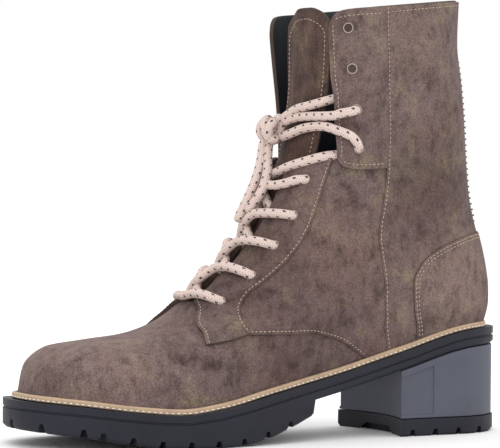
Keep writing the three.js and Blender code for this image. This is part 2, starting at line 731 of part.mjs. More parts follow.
// Insole: a board that lies on the sole inside the upper
function insoleGeometry() {
  const height = (lift) => (along) => soleTop(along) + CLEARANCE + lift;
  return stack(outlineTurns(INSOLE_STEPS), [
    { out: -INSOLE_INSET, height: height(0) },
    { out: -INSOLE_INSET, height: height(INSOLE_THICKNESS) },
  ]);
}
add("insole", "lining", insoleGeometry());
add("upper", "suede", upperGeometry());

// Tongue: half widths over the ball's at a level of the upper, and how deep it lies, in walls
const TONGUE = [
  { up: 0.3, half: 0.26, depth: 1.64 },
  { up: 0.5, half: 0.38, depth: 1.41 },
  { up: 0.66, half: 0.46, depth: 1.41 },
  { up: 0.76, half: 0.5, depth: 0.91 },
  { up: 0.9, half: 0.52, depth: 0.45 },
  { up: 1.0, half: 0.5, depth: 0.36 },
  { up: 1.03, half: 0.42, depth: 0.36 },
];
function tongueGeometry() {
  const { columns, rows } = TONGUE_SIZE;
  const at = (i, j, layer) => {
    const up = THREE.MathUtils.lerp(firstUp(TONGUE), lastUp(TONGUE), j / rows);
    const half = readTable(TONGUE, "up", "half", up) * BALL_HALF_WIDTH;
    const depth = readTable(TONGUE, "up", "depth", up) * WALL;
    const across = (2 * i) / columns - 1;
    const near = across === 0 ? 1 : turnNearFront(up, Math.abs(across) * half);
    return surface(across < 0 ? near : 2 - near, up, -depth - (layer ? 0 : TONGUE_THICKNESS));
  };
  return shell(columns, rows, at, () => true);
}
add("tongue", "suede", tongueGeometry());

// Panels sewn over the upper, with their rear and front edges as turns round the last
const QUARTER = [
  { up: 0.03, rear: 0.355, front: 0.4 },
  { up: 0.075, rear: 0.364, front: 0.433 },
  { up: 0.12, rear: 0.373, front: 0.5 },
  { up: 0.162, rear: 0.383, front: 0.596 },
  { up: 0.2, rear: 0.391, front: 0.66 },
  { up: 0.33, rear: 0.426, front: 0.76 },
  { up: 0.394, rear: 0.445, front: 0.75 },
  { up: 0.6, rear: 0.509, front: 0.76 },
];
const EYESTAY = [
  { up: 0.165, rear: 0.622, front: 0.69 },
  { up: 0.213, rear: 0.647, front: 0.722 },
  { up: 0.269, rear: 0.689, front: 0.785 },
  { up: 0.33, rear: 0.734, front: 0.852 },
  { up: 0.355, rear: 0.744, front: 0.885 },
  { up: 0.388, rear: 0.737, front: 0.96 },
  { up: 0.457, rear: 0.719, front: 1.0 },
  { up: 0.528, rear: 0.718, front: 1.0 },
  { up: 0.591, rear: 0.733, front: 1.0 },
  { up: 0.69, rear: 0.765, front: 1.0 },
];
const FLAP = [
  { up: 0.62, rear: 0.515, front: 0.712 },
  { up: 0.704, rear: 0.538, front: 0.733 },
  { up: 0.764, rear: 0.562, front: 0.765 },
  { up: 0.824, rear: 0.583, front: 0.795 },
  { up: 0.875, rear: 0.594, front: 0.823 },
  { up: 0.943, rear: 0.606, front: 0.837 },
  { up: 1.0, rear: 0.614, front: 0.848 },
];
const COUNTER = [
  { up: 0.03, front: 0.298 },
  { up: 0.1, front: 0.314 },
  { up: 0.15, front: 0.327 },
  { up: 0.2, front: 0.335 },
  { up: 0.24, front: 0.332 },
  { up: 0.268, front: 0.311 },
  { up: 0.282, front: 0.27 },
];

// A block through the upper's wall with a panel's outline, for side -1 outer and 1 inner. Its
// rear edge can be moved back by a share of a turn.
function panelBlock(table, size, side, behind = 0) {
  const at = (i, j, layer) => {
    const up = THREE.MathUtils.lerp(firstUp(table), lastUp(table), j / size.rows);
    const across = side < 0 ? i / size.columns : 1 - i / size.columns;
    const front = Math.min(readTable(table, "up", "front", up), facingTurn(up));
    const rear = readTable(table, "up", "rear", up) - behind;
    const turn = THREE.MathUtils.lerp(rear, front, across);
    return surface(side < 0 ? turn : 2 - turn, up, layer ? CUT_REACH : -CUT_DEPTH);
  };
  return solidOf(shell(size.columns, size.rows, at, () => true));
}
const SIDES = { lateral: -1, medial: 1 };
const band = (thickness) => solidOf(upperShell(CLEARANCE, CLEARANCE + thickness, () => true));
const seamBand = band(SEAM_STEP);
const overlayBand = band(OVERLAY_THICKNESS);
Object.entries(SIDES).forEach(([name, side]) => {
  const eyestay = overlayBand.intersect(panelBlock(EYESTAY, EYESTAY_SIZE, side));
  const around = panelBlock(EYESTAY, EYESTAY_SIZE, side, SEAM_GAP);
  const block = panelBlock(QUARTER, QUARTER_SIZE, side);
  const quarter = seamBand.intersect(block.subtract(around));
  add(`quarter_${name}`, "suede", geometryOf(quarter));
  add(`eyestay_${name}`, "suede", geometryOf(eyestay));
});

// Counter: round the heel, with the zip slit cut out of it
function counterGeometry() {
  const { columns, rows } = COUNTER_SIZE;
  const reach = (layer) => (layer ? CUT_REACH : -CUT_DEPTH);
  const block = (i, j, layer) => {
    const up = THREE.MathUtils.lerp(firstUp(COUNTER), lastUp(COUNTER), j / rows);
    const front = readTable(COUNTER, "up", "front", up);
    return surface(front * ((2 * i) / columns - 1), up, reach(layer));
  };
  const slit = (i, j, layer) => {
    const up = THREE.MathUtils.lerp(ZIP_FOOT_UP, THROAT_UP, j / rows);
    const edge = turnNearBack(up, ZIP_SLIT_HALF);
    return surface(i ? edge : -edge, up, reach(layer));
  };
  const around = solidOf(shell(columns, rows, block, () => true));
  return geometryOf(seamBand.intersect(around).subtract(solidOf(shell(1, rows, slit, () => true))));
}
add("counter", "suede", counterGeometry());

// Front flaps: sewn on at the rear, free in front, the inner one leaning outwards
function flapEnds(across) {
  const corner = THREE.MathUtils.lerp(firstUp(FLAP), FLAP_CORNER_UP, across);
  return { low: corner + FLAP_LOW_CURL * across ** 6, high: 1 - FLAP_TOP_CURL * across ** 8 };
}
// A point on a flap at shares of the way to its front and its top, and a distance out from its
// inner face, for side -1 outer and 1 inner
function flapPoint(side, across, share, out) {
  const { low, high } = flapEnds(across);
  const up = THREE.MathUtils.lerp(low, high, share);
  const rear = readTable(FLAP, "up", "rear", up);
  const turn = THREE.MathUtils.lerp(rear, readTable(FLAP, "up", "front", up), across);
  const spread = side < 0 ? 0 : FAR_FLAP_SPREAD * across ** 2 * share;
  return surface(side < 0 ? turn : 2 - turn, up, FLAP_LIFT + spread + out);
}
function flapGeometry(side) {
  const { columns, rows } = FLAP_SIZE;
  const at = (i, j, layer) => {
    const across = (side < 0 ? i : columns - i) / columns;
    return flapPoint(side, across, j / rows, layer ? FLAP_THICKNESS : 0);
  };
  return shell(columns, rows, at, () => true);
}
Object.entries(SIDES).forEach(([name, side]) => {
  add(`flap_${name}`, "suede", flapGeometry(side));
});

// Back zip: a tape inside the slit's edges and the teeth between them
function zipStrip({ columns, rows }, inner, outer, halfOf) {
  const at = (i, j, layer) => {
    const up = THREE.MathUtils.lerp(ZIP_FOOT_UP, ZIP_TOP_UP, j / rows);
    const across = (2 * i) / columns - 1;
    const turn = across === 0 ? 0 : turnNearBack(up, Math.abs(across) * halfOf(j));
    return surface(Math.sign(across) * turn, up, layer ? outer : inner);
  };
  return shell(columns, rows, at, () => true);
}
function tapeGeometry() {
  const size = { columns: 2, rows: TAPE_ROWS };
  return zipStrip(size, -TAPE_DEPTH - TAPE_THICKNESS, -TAPE_DEPTH, () => TAPE_HALF_WIDTH);
}
add("zip_tape", "lining", tapeGeometry());
function teethGeometry() {
  const length = (ZIP_TOP_UP - ZIP_FOOT_UP) * UPPER_HEIGHT;
  const rows = 2 * Math.round(length / TOOTH_PITCH);
  const halfOf = (j) => (j % 2 ? TEETH_HALF_WIDTH : TOOTH_WAIST * TEETH_HALF_WIDTH);
  return zipStrip({ columns: 1, rows }, TEETH_SEAT - TAPE_DEPTH, TEETH_PROUD, halfOf);
}
add("zip_teeth", "metal", teethGeometry());

// A frame on the back's middle line: X outwards, Y across and Z up along the zip
function backFrame(up, out) {
  const group = new THREE.Group();
  group.position.copy(surface(0, up, out));
  const outward = surface(0, up, 1).sub(surface(0, up, 0)).normalize();
  const across = new THREE.Vector3(0, 1, 0);
  const upward = new THREE.Vector3().crossVectors(outward, across).normalize();
  group.quaternion.setFromRotationMatrix(new THREE.Matrix4().makeBasis(outward, across, upward));
  boot.add(group);
  return group;
}
// A rounded plate in the Y-Z plane, from x 0 to its thickness
function plate(width, length, thickness, corner) {
  const [w, l] = [width / 2 - corner, length / 2 - corner];
  const shape = new THREE.Shape();
  shape.absarc(w, l, corner, 0, Math.PI / 2);
  shape.absarc(-w, l, corner, Math.PI / 2, Math.PI);
  shape.absarc(-w, -l, corner, Math.PI, 1.5 * Math.PI);
  shape.absarc(w, -l, corner, 1.5 * Math.PI, 2 * Math.PI);
  const geometry = new THREE.ExtrudeGeometry(shape, {
    depth: thickness,
    bevelEnabled: false,
    curveSegments: 3,
  });
  const turn = new THREE.Matrix4().makeBasis(
    new THREE.Vector3(0, 1, 0),
    new THREE.Vector3(0, 0, 1),
    new THREE.Vector3(1, 0, 0),
  );
  return geometry.applyMatrix4(turn);
}
// Slider: a plate over the teeth with two cheeks that hold the pull's pin
const sliderFrame = backFrame(SLIDER_UP, TEETH_PROUD + CLEARANCE);
function sliderGeometry() {
  let solid = solidOf(plate(SLIDER_WIDTH, SLIDER_LENGTH, SLIDER_THICKNESS, SLIDER_WIDTH / 4));
  [-1, 1].forEach((side) => {
    const shape = new THREE.Shape();
    const half = CHEEK_HEIGHT / 2;
    const over = SLIDER_THICKNESS / 2;
    shape.moveTo(over, -half);
    shape.lineTo(PIN_OUT, -half);
    shape.absarc(PIN_OUT, 0, half, -Math.PI / 2, Math.PI / 2);
    shape.lineTo(over, half);
    const bore = PIN_RADIUS + CLEARANCE;
    shape.holes.push(new THREE.Path().absarc(PIN_OUT, 0, bore, 0, 2 * Math.PI, true));
    const cheek = new THREE.ExtrudeGeometry(shape, {
      depth: CHEEK_THICKNESS,
      bevelEnabled: false,
      curveSegments: 4,
    });
    cheek.translate(0, 0, -CHEEK_THICKNESS / 2).rotateX(Math.PI / 2);
    cheek.translate(0, side * (PULL_WIDTH / 2 + CLEARANCE + CHEEK_THICKNESS / 2), 0);
    solid = solid.add(solidOf(cheek));
  });
  return geometryOf(solid);
}
add("zip_slider", "metal", sliderGeometry(), sliderFrame);
// Pull tab, hanging from a barrel on its pin
function pullGeometry() {
  const tab = plate(PULL_WIDTH, PULL_LENGTH, PULL_THICKNESS, PULL_WIDTH / 3);
  tab.translate(-PULL_THICKNESS / 2, 0, -PULL_LENGTH / 2 + PULL_BARREL / 2);
  const barrel = new THREE.CylinderGeometry(PULL_BARREL, PULL_BARREL, PULL_WIDTH, 10);
  const pinLength = PULL_WIDTH + 2 * (CLEARANCE + CHEEK_THICKNESS);
  const pin = new THREE.CylinderGeometry(PIN_RADIUS, PIN_RADIUS, pinLength, 8);
  return geometryOf(solidOf(tab).add(solidOf(barrel)).add(solidOf(pin)));
}
add("zip_pull", "metal", pullGeometry(), sliderFrame).position.set(PIN_OUT, 0, 0);

// Eyelets: place on the last's outer side, mirrored to the inner side
const EYELETS = [
  { turn: 0.817, up: 0.371, on: "eyestay" },
  { turn: 0.802, up: 0.442, on: "eyestay" },
  { turn: 0.805, up: 0.522, on: "eyestay" },
  { turn: 0.799, up: 0.588, on: "eyestay" },
  { turn: 0.816, up: 0.667, on: "eyestay" },
  { turn: 0.656, up: 0.704, on: "flap" },
  { turn: 0.693, up: 0.795, on: "flap" },
  { turn: 0.738, up: 0.88, on: "flap" },
  { turn: 0.762, up: 0.962, on: "flap" },
];
function eyeletGeometry() {
  const profile = [
    new THREE.Vector2(EYELET_BORE, 0),
    new THREE.Vector2(EYELET_OUTER, 0),
    new THREE.Vector2((EYELET_BORE + EYELET_OUTER) / 2, EYELET_THICKNESS),
    new THREE.Vector2(EYELET_BORE, 0),
  ];
  return new THREE.LatheGeometry(profile, EYELET_FACETS);
}
// Where a facing eyelet sits, and a point straight out from it
function facingPlace(side, { turn, up }) {
  const round = side < 0 ? turn : 2 - turn;
  const out = 2 * CLEARANCE + OVERLAY_THICKNESS;
  return { seat: surface(round, up, out), outward: surface(round, up, out + 1) };
}
// The same for an eyelet on a flap, square to the flap's own face
function flapPlace(side, { turn, up }) {
  const rear = readTable(FLAP, "up", "rear", up);
  const across = (turn - rear) / (readTable(FLAP, "up", "front", up) - rear);
  const { low, high } = flapEnds(across);
  const share = (up - low) / (high - low);
  const at = (x, y) => flapPoint(side, x, y, FLAP_THICKNESS + CLEARANCE);
  const seat = at(across, share);
  const forward = at(across + STEP, share).sub(seat);
  const upward = at(across, share + STEP).sub(seat);
  const normal = forward.cross(upward).normalize().multiplyScalar(side < 0 ? -1 : 1);
  return { seat, outward: normal.add(seat) };
}
Object.entries(SIDES).forEach(([name, side]) => {
  EYELETS.forEach((eyelet, k) => {
    const { seat, outward } = (eyelet.on === "flap" ? flapPlace : facingPlace)(side, eyelet);
    const ring = add(`eyelet_${name}_${k + 1}`, "metal", eyeletGeometry());
    ring.position.copy(seat);
    ring.quaternion.setFromUnitVectors(new THREE.Vector3(0, 1, 0), outward.sub(seat).normalize());
  });
});

// Laces. A path's points are a turn round the last, a level and a distance out in diameters.
function lacePoints(path, side = 1) {
  return path.map(([turn, up, out]) => {
    return surface(side < 0 ? 2 - turn : turn, up, out * LACE_DIAMETER);
  });
}
function laceTube(points) {
  const curve = new THREE.CatmullRomCurve3(points, false, "centripetal");
  const section = Array.from({ length: LACE_SIDES }, (_, k) => {
    const angle = (2 * Math.PI * k) / LACE_SIDES;
    return new THREE.Vector2(Math.cos(angle), Math.sin(angle)).multiplyScalar(LACE_RADIUS);
  });
  return new THREE.ExtrudeGeometry(new THREE.Shape(section), {
    steps: Math.max(Math.round(curve.getLength() / (2 * LACE_DIAMETER)), 2),
    extrudePath: curve,
    bevelEnabled: false,
  });
}
// Two strands from a pair of eyelets that cross in the gap below them
const CROSSING = { start: 1.09, ridge: 1.19, edge: 1.01, middle: 0.27 };
const FACING_ROWS = EYELETS.filter(({ on }) => on === "eyestay");
FACING_ROWS.slice(1).forEach(({ turn, up }, k) => {
  const cross = (up + FACING_ROWS[k].up) / 2;
  const path = [
    [turn + EYELET_REACH, up, CROSSING.start],
    [0.9, THREE.MathUtils.lerp(up, cross, 0.4), CROSSING.ridge],
    [0.96, THREE.MathUtils.lerp(up, cross, 0.8), CROSSING.edge],
    [1.01, cross, CROSSING.middle],
  ];
  const [one, other] = [1, -1].map((side) => solidOf(laceTube(lacePoints(path, side))));
  add(`lace_crossing_${k + 1}`, "lace", geometryOf(one.add(other)));
});
// The bars and strands at the top of the lacing, and which of them end at the knot
const LACE_BARS = {
  lace_base_bar: [
    [FACING_ROWS[0].turn + EYELET_REACH, 0.371, 1.03],
    [0.92, 0.374, 1.13],
    [1, 0.376, 1.21],
    [1.08, 0.374, 1.13],
    [2 - FACING_ROWS[0].turn - EYELET_REACH, 0.371, 1.03],
  ],
  lace_tongue_bar: [
    [0.758, 0.709, 0.39],
    [0.81, 0.709, 0.34],
    [0.88, 0.709, 0.37],
    [0.95, 0.703, 0.39],
    [1.02, 0.695, 0.42],
  ],
  lace_strand_lower: [
    [0.682, 0.723, 1.58],
    [0.701, 0.737, 1.61],
    [0.735, 0.751, 1.58],
    [0.763, 0.76, 1.45],
    [0.8, 0.77, 0.97],
    [0.843, 0.776, 0.5],
    [0.905, 0.777, 0.39],
    [0.95, 0.772, 0.45],
  ],
  lace_strand_upper: [
    [0.724, 0.793, 1.55],
    [0.75, 0.791, 1.55],
    [0.777, 0.79, 1.45],
    [0.83, 0.794, 0.79],
    [0.893, 0.799, 0.42],
    [0.945, 0.8, 0.42],
    [0.978, 0.798, 0.58],
  ],
  lace_strand_inner: [
    [0.8, 0.826, 0.26],
    [0.85, 0.821, 0.29],
    [0.9, 0.82, 0.34],
    [0.955, 0.8195, 0.39],
  ],
};
const TIED = ["lace_strand_lower", "lace_strand_upper"];
// The point on the knot's face, just clear of it, that a strand from another point meets
function knotFace(from) {
  const middle = surface(KNOT.turn, KNOT.up, KNOT.out * LACE_DIAMETER);
  const away = from.clone().sub(middle);
  const size = new THREE.Vector3(KNOT.deep, KNOT.across, KNOT.high).multiplyScalar(LACE_DIAMETER);
  const reach = away.length() / away.clone().divide(size).length() + CLEARANCE;
  return middle.addScaledVector(away.normalize(), reach);
}
Object.entries(LACE_BARS).forEach(([name, path]) => {
  const points = lacePoints(path);
  if (TIED.includes(name)) points.push(knotFace(points[points.length - 1]));
  add(name, "lace", laceTube(points));
});

// Knot and the two free ends, which start at its face
const LACE_ENDS = {
  lace_end_inner: [
    [1.078, 0.731, 2.79],
    [1.068, 0.72, 2.61],
    [1.045, 0.685, 2.53],
    [1.036, 0.66, 2.63],
    [1.034, 0.634, 2.66],
    [1.035, 0.592, 2.61],
    [1.031, 0.569, 2.32],
  ],
  lace_end_outer: [
    [1.038, 0.731, 1.87],
    [1.028, 0.718, 1.84],
    [0.995, 0.7, 2.05],
    [0.976, 0.685, 2.29],
    [0.966, 0.66, 2.32],
    [0.98, 0.639, 2.32],
    [0.975, 0.605, 2.39],
    [0.999, 0.588, 2.32],
  ],
};
function knotGeometry() {
  const size = [KNOT.deep, KNOT.across, KNOT.high].map((share) => share * LACE_DIAMETER);
  const place = surface(KNOT.turn, KNOT.up, KNOT.out * LACE_DIAMETER);
  return new THREE.IcosahedronGeometry(1, 2).scale(...size).translate(place.x, place.y, place.z);
}
add("lace_knot", "lace", knotGeometry());
Object.entries(LACE_ENDS).forEach(([name, path]) => {
  const points = lacePoints(path);
  add(name, "lace", laceTube([knotFace(points[0]), ...points]));
});
export default boot;
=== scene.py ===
"""Looks of a lace-up ankle boot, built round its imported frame.

Sizes are in metres, +Z up, the toe towards -X and the boot's outer side towards -Y. Every soft
piece is placed on the last: a turn round it, a level up it and a distance out from it.
"""

import logging
import math
from dataclasses import dataclass
from enum import Enum
from typing import Callable, Sequence

import bmesh
import bpy
import numpy as np
from mathutils import Matrix, Vector


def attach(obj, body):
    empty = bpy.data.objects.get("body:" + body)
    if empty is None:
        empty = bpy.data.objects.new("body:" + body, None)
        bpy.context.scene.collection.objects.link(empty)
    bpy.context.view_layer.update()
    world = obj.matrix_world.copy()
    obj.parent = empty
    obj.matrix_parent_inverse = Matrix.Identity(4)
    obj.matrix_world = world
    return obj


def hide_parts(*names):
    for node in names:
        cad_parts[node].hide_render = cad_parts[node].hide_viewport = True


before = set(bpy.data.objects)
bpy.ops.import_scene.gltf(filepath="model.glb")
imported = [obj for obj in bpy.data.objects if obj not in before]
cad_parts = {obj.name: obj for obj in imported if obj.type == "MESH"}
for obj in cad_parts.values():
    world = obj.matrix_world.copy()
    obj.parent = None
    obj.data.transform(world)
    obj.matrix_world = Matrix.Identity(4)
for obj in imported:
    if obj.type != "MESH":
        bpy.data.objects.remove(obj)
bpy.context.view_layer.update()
LOG = logging.getLogger("boot")
MM = 0.001
BOOT = "boot"
Place = Callable[[np.ndarray, np.ndarray], np.ndarray]
Rows = Sequence[tuple[float, ...]]
Triple = tuple[float, float, float]
Mesh = bmesh.types.BMesh
Piece = bpy.types.Object
Material = bpy.types.Material
Tree = bpy.types.NodeTree
Socket = bpy.types.NodeSocket


class Side(Enum):
    """The two sides of the boot, with their sign along Y."""

    LATERAL = -1
    MEDIAL = 1

    def turn(self, turn: np.ndarray | float) -> np.ndarray | float:
        """A turn on the outer side, or its mirror on the inner side."""
        return turn if self is Side.LATERAL else 2 - turn

    @property
    def label(self) -> str:
        """The side's name, as the pieces use it."""
        return self.name.lower()


def unit(vectors: np.ndarray) -> np.ndarray:
    """Rows scaled to a length of 1."""
    return vectors / np.linalg.norm(vectors, axis=1)[:, None]


def spread(value: np.ndarray | float, count: int) -> np.ndarray:
    """One value or one for each point, as a column."""
    return np.reshape(np.broadcast_to(value, (count,)), (-1, 1))


def hermite(xs: np.ndarray, ys: np.ndarray, x: np.ndarray) -> np.ndarray:
    """A smooth curve through rows that never overshoots one.

    Args:
        xs: The rows' places, shape (K,).
        ys: The rows' values, shape (K,) or (N, K) with one set for each x.
        x: Where to read, shape (N,).

    Returns:
        The values at x.
    """
    ys = np.broadcast_to(ys, (len(x), len(xs)))
    slope = np.diff(ys, axis=1) / np.diff(xs)
    tangent = np.zeros_like(ys)
    tangent[:, 0] = slope[:, 0]
    tangent[:, -1] = slope[:, -1]
    product = slope[:, :-1] * slope[:, 1:]
    total = slope[:, :-1] + slope[:, 1:]
    safe = np.where(product > 0, total, 1.0)
    tangent[:, 1:-1] = np.where(product > 0, 2 * product / safe, 0.0)
    i = np.clip(np.searchsorted(xs, x, side="left") - 1, 0, len(xs) - 2)
    row = np.arange(len(x))
    h = xs[i + 1] - xs[i]
    s = (x - xs[i]) / h
    p, m = ys[row, i], tangent[row, i] * h
    n, c = tangent[row, i + 1] * h, ys[row, i + 1] - ys[row, i]
    inside = p + s * (m + s * (3 * c - 2 * m - n + s * (m + n - 2 * c)))
    beyond = ys[:, -1] + tangent[:, -1] * (x - xs[-1])
    return np.where(x >= xs[-1], beyond, inside)


class Table:
    """A short table with named columns, read along its first one."""

    def __init__(self, names: str, *rows: tuple[float, ...]) -> None:
        """Keeps the rows by column name.

        Args:
            names: The columns' names, apart by spaces.
            rows: The rows, in rising order of the first column.
        """
        self.columns = dict(zip(names.split(), np.array(rows, float).T))
        self.key = self.columns[names.split()[0]]

    def read(self, name: str, x: np.ndarray | float) -> np.ndarray:
        """The named column's values at x."""
        flat = np.atleast_1d(np.asarray(x, float))
        return hermite(self.key, self.columns[name], flat.ravel()).reshape(flat.shape)


SOLE_LINE = Table(
    "at lift spring",
    (0.0, 1.0, 0.0),
    (0.08, 0.985, 0.0),
    (0.26, 0.685, 0.0),
    (0.41, 0.42, 0.0),
    (0.56, 0.21, 0.0),
    (0.66, 0.06, 0.0),
    (0.73, 0.0, 0.0),
    (0.82, 0.0, 0.25),
    (0.91, 0.0, 0.68),
    (1.0, 0.0, 1.0),
)
LEVELS = Table(
    "up back front rise",
    (0.0, 0.025, 0.975, 0.0),
    (0.06, 0.021, 0.963, 0.088),
    (0.12, 0.022, 0.915, 0.144),
    (0.18, 0.028, 0.852, 0.157),
    (0.24, 0.037, 0.789, 0.165),
    (0.3, 0.048, 0.726, 0.189),
    (0.4, 0.063, 0.636, 0.278),
    (0.5, 0.07, 0.559, 0.384),
    (0.62, 0.077, 0.489, 0.543),
    (0.75, 0.086, 0.442, 0.736),
    (0.88, 0.097, 0.42, 0.94),
    (1.0, 0.094, 0.418, 1.13),
)
WIDTHS = Table(
    "up heel waist ball toe",
    (0.0, 0.76, 0.8, 0.98, 0.84),
    (0.06, 0.85, 0.88, 0.99, 0.83),
    (0.12, 0.89, 0.94, 0.95, 0.8),
    (0.18, 0.9, 0.96, 0.88, 0.75),
    (0.24, 0.9, 0.96, 0.82, 0.68),
    (0.3, 0.9, 0.96, 0.77, 0.62),
    (0.4, 0.92, 0.97, 0.73, 0.6),
    (0.5, 0.94, 0.98, 0.72, 0.6),
    (0.62, 0.95, 1.0, 0.74, 0.62),
    (0.75, 0.98, 1.02, 0.78, 0.68),
    (0.88, 1.01, 1.05, 0.84, 0.78),
    (1.0, 1.03, 1.07, 0.87, 0.84),
)
ROUNDING = Table(
    "up back front",
    (0.0, 0.1, 0.15),
    (0.06, 0.11, 0.145),
    (0.12, 0.115, 0.155),
    (0.18, 0.12, 0.165),
    (0.24, 0.12, 0.16),
    (0.3, 0.125, 0.14),
    (0.4, 0.13, 0.115),
    (0.5, 0.13, 0.1),
    (0.62, 0.135, 0.09),
    (0.75, 0.14, 0.085),
    (1.0, 0.14, 0.085),
)
BEND = Table(
    "at shift",
    (0.0, 0.0),
    (0.2, -0.1),
    (0.48, -1.0),
    (0.72, 0.1),
    (0.88, 0.5),
    (1.0, 0.5),
)
FOLLOW = Table(
    "up share",
    (0.0, 1.0),
    (0.12, 0.9),
    (0.3, 0.52),
    (0.5, 0.15),
    (0.7, 0.0),
    (1.0, 0.0),
)
SHAFT_EDGE = Table(
    "up turn",
    (0.62, 0.515),
    (0.72, 0.545),
    (0.81, 0.578),
    (0.905, 0.6),
    (1.0, 0.612),
)


@dataclass
class Last:
    """The boot's last: the closed form that the upper is drawn over."""

    length: float = 276 * MM
    ball_half: float = 43.5 * MM
    ankle_half: float = 35 * MM
    height: float = 173 * MM
    inflare: float = 4.5 * MM
    clearance: float = 0.3 * MM
    fore_thickness: float = 16.5 * MM
    heel_lift: float = 39.5 * MM
    toe_spring: float = 7.5 * MM
    front_power: float = 2.15
    back_power: float = 2.1
    step: float = 1e-3
    width_at: tuple[float, ...] = (0.1, 0.42, 0.7, 0.88)

    def sole_top(self, along: np.ndarray | float) -> np.ndarray:
        """Height of the sole's top edge at a place along the boot."""
        at = np.asarray(along, float) / self.length
        lift = SOLE_LINE.read("lift", at) * self.heel_lift
        return self.fore_thickness + lift + SOLE_LINE.read("spring", at) * self.toe_spring

    def sole_dip(self, along: np.ndarray) -> np.ndarray:
        """How far the sole's top edge lies from a straight line between heel and toe."""
        heel, toe = self.sole_top(0.0)[0], self.sole_top(self.length)[0]
        return self.sole_top(along) - (heel + (toe - heel) * along / self.length)

    def half_width(self, up: np.ndarray, share: np.ndarray) -> np.ndarray:
        """Half width of a level line before its ends round off."""
        rear, fore = self.ankle_half, self.ball_half
        scale = {"heel": rear, "waist": rear, "ball": fore, "toe": fore}
        halves = np.stack([WIDTHS.read(name, up) * size for name, size in scale.items()], axis=1)
        held = np.clip(share, self.width_at[0], self.width_at[-1])
        return hermite(np.array(self.width_at), halves, held)

    @staticmethod
    def round_off(distance: np.ndarray, reach: np.ndarray, power: float) -> np.ndarray:
        """Rounds off an end: 0 at the end itself, 1 from reach onwards."""
        left = 1 - np.clip(distance / reach, 0, 1)
        return (1 - left**power) ** (1 / power)

    def point(self, turn: np.ndarray, up: np.ndarray) -> np.ndarray:
        """Points on the last.

        Args:
            turn: Turns round it, 0 at the back, 1 at the front, 2 at the back again.
            up: Levels up it, 0 at the sole and 1 at the collar.

        Returns:
            The points, shape (N, 3).
        """
        wrapped = np.mod(turn, 2)
        outer = wrapped <= 1
        share = (1 - np.cos(np.pi * np.where(outer, wrapped, 2 - wrapped))) / 2
        back = LEVELS.read("back", up) * self.length
        front = LEVELS.read("front", up) * self.length
        along = back + (front - back) * share
        half = self.half_width(up, share)
        half *= self.round_off(along - back, ROUNDING.read("back", up) * self.length, self.back_power)
        reach = ROUNDING.read("front", up) * self.length
        half *= self.round_off(front - along, reach, self.front_power)
        follow = FOLLOW.read("share", up)
        bend = BEND.read("shift", along / self.length) * self.inflare * follow
        heel, toe = self.sole_top(0.0)[0], self.sole_top(self.length)[0]
        high_back = heel + self.clearance + up * self.height
        high_front = toe + self.clearance + LEVELS.read("rise", up) * self.height
        base_back = high_back - follow * self.sole_dip(back)
        base_front = high_front - follow * self.sole_dip(front)
        high = base_back + (base_front - base_back) * share + follow * self.sole_dip(along)
        return np.stack([self.length / 2 - along, np.where(outer, -half, half) + bend, high], axis=1)

    def frame(self, turn: np.ndarray, up: np.ndarray) -> tuple[np.ndarray, ...]:
        """Points of the last with what they move by for a turn and for a level, and outwards."""
        turn, up = np.broadcast_arrays(np.asarray(turn, float).ravel(), np.asarray(up, float).ravel())
        low = np.maximum(up - self.step, 0)
        round_ = (self.point(turn + self.step, up) - self.point(turn - self.step, up)) / (2 * self.step)
        rise = self.point(turn, up + self.step) - self.point(turn, low)
        rise /= (up + self.step - low)[:, None]
        return self.point(turn, up), round_, rise, unit(np.cross(rise, round_))

    def surface(
        self, turn: np.ndarray | float, up: np.ndarray | float, out: np.ndarray | float = 0.0
    ) -> np.ndarray:
        """Points at a distance out from the last, shape (N, 3)."""
        point, _, _, normal = self.frame(np.atleast_1d(turn), np.atleast_1d(up))
        return point + normal * spread(out, len(point))

    def at(self, turn: float, up: float, out: float = 0.0) -> Vector:
        """One point at a distance out from the last."""
        return Vector(self.surface(turn, up, out)[0])

    def outward(self, turn: float, up: float) -> Vector:
        """The way out of the last at a point."""
        return Vector(self.frame(np.atleast_1d(turn), np.atleast_1d(up))[3][0])

    def from_end(
        self, end: str, power: float, up: np.ndarray | float, half: np.ndarray | float
    ) -> np.ndarray:
        """How far round from an end level lines are half from the middle.

        Args:
            end: Which end, "back" or "front".
            power: How full the end's rounding is.
            up: The levels.
            half: Distances from the middle, in metres.

        Returns:
            The turns from that end.
        """
        up = np.atleast_1d(np.asarray(up, float))
        share = np.full_like(up, 1.0 if end == "front" else 0.0)
        ratio = np.minimum(half / self.half_width(up, share), 0.999)
        distance = ROUNDING.read(end, up) * self.length * (1 - (1 - ratio**power) ** (1 / power))
        span = (LEVELS.read("front", up) - LEVELS.read("back", up)) * self.length
        return np.arccos(1 - 2 * distance / span) / np.pi

    def near_back(self, up: np.ndarray | float, half: np.ndarray | float) -> np.ndarray:
        """Turns at which level lines are half from the middle at the back."""
        return self.from_end("back", self.back_power, up, half)

    def near_front(self, up: np.ndarray | float, half: np.ndarray | float) -> np.ndarray:
        """Turns on the outer side at which level lines are half from the middle in front."""
        return 1 - self.from_end("front", self.front_power, up, half)

    def edge(self, turn: np.ndarray, out: np.ndarray | float) -> np.ndarray:
        """Points of the foot's outline in plan at a distance out, shape (N, 2)."""
        zero = np.zeros_like(turn)
        here = self.point(turn, zero)
        along = self.point(turn + self.step, zero) - self.point(turn - self.step, zero)
        aside = unit(np.stack([-along[:, 1], along[:, 0]], axis=1))
        return here[:, :2] + aside * spread(out, len(turn))


LAST = Last()


@dataclass(frozen=True)
class Crease:
    """A soft trough across the leather, seen from the side, or a ridge where depth is below 0.

    start and end are x and z in millimetres, as width and depth are.
    """

    start: tuple[float, float]
    end: tuple[float, float]
    width: float
    depth: float


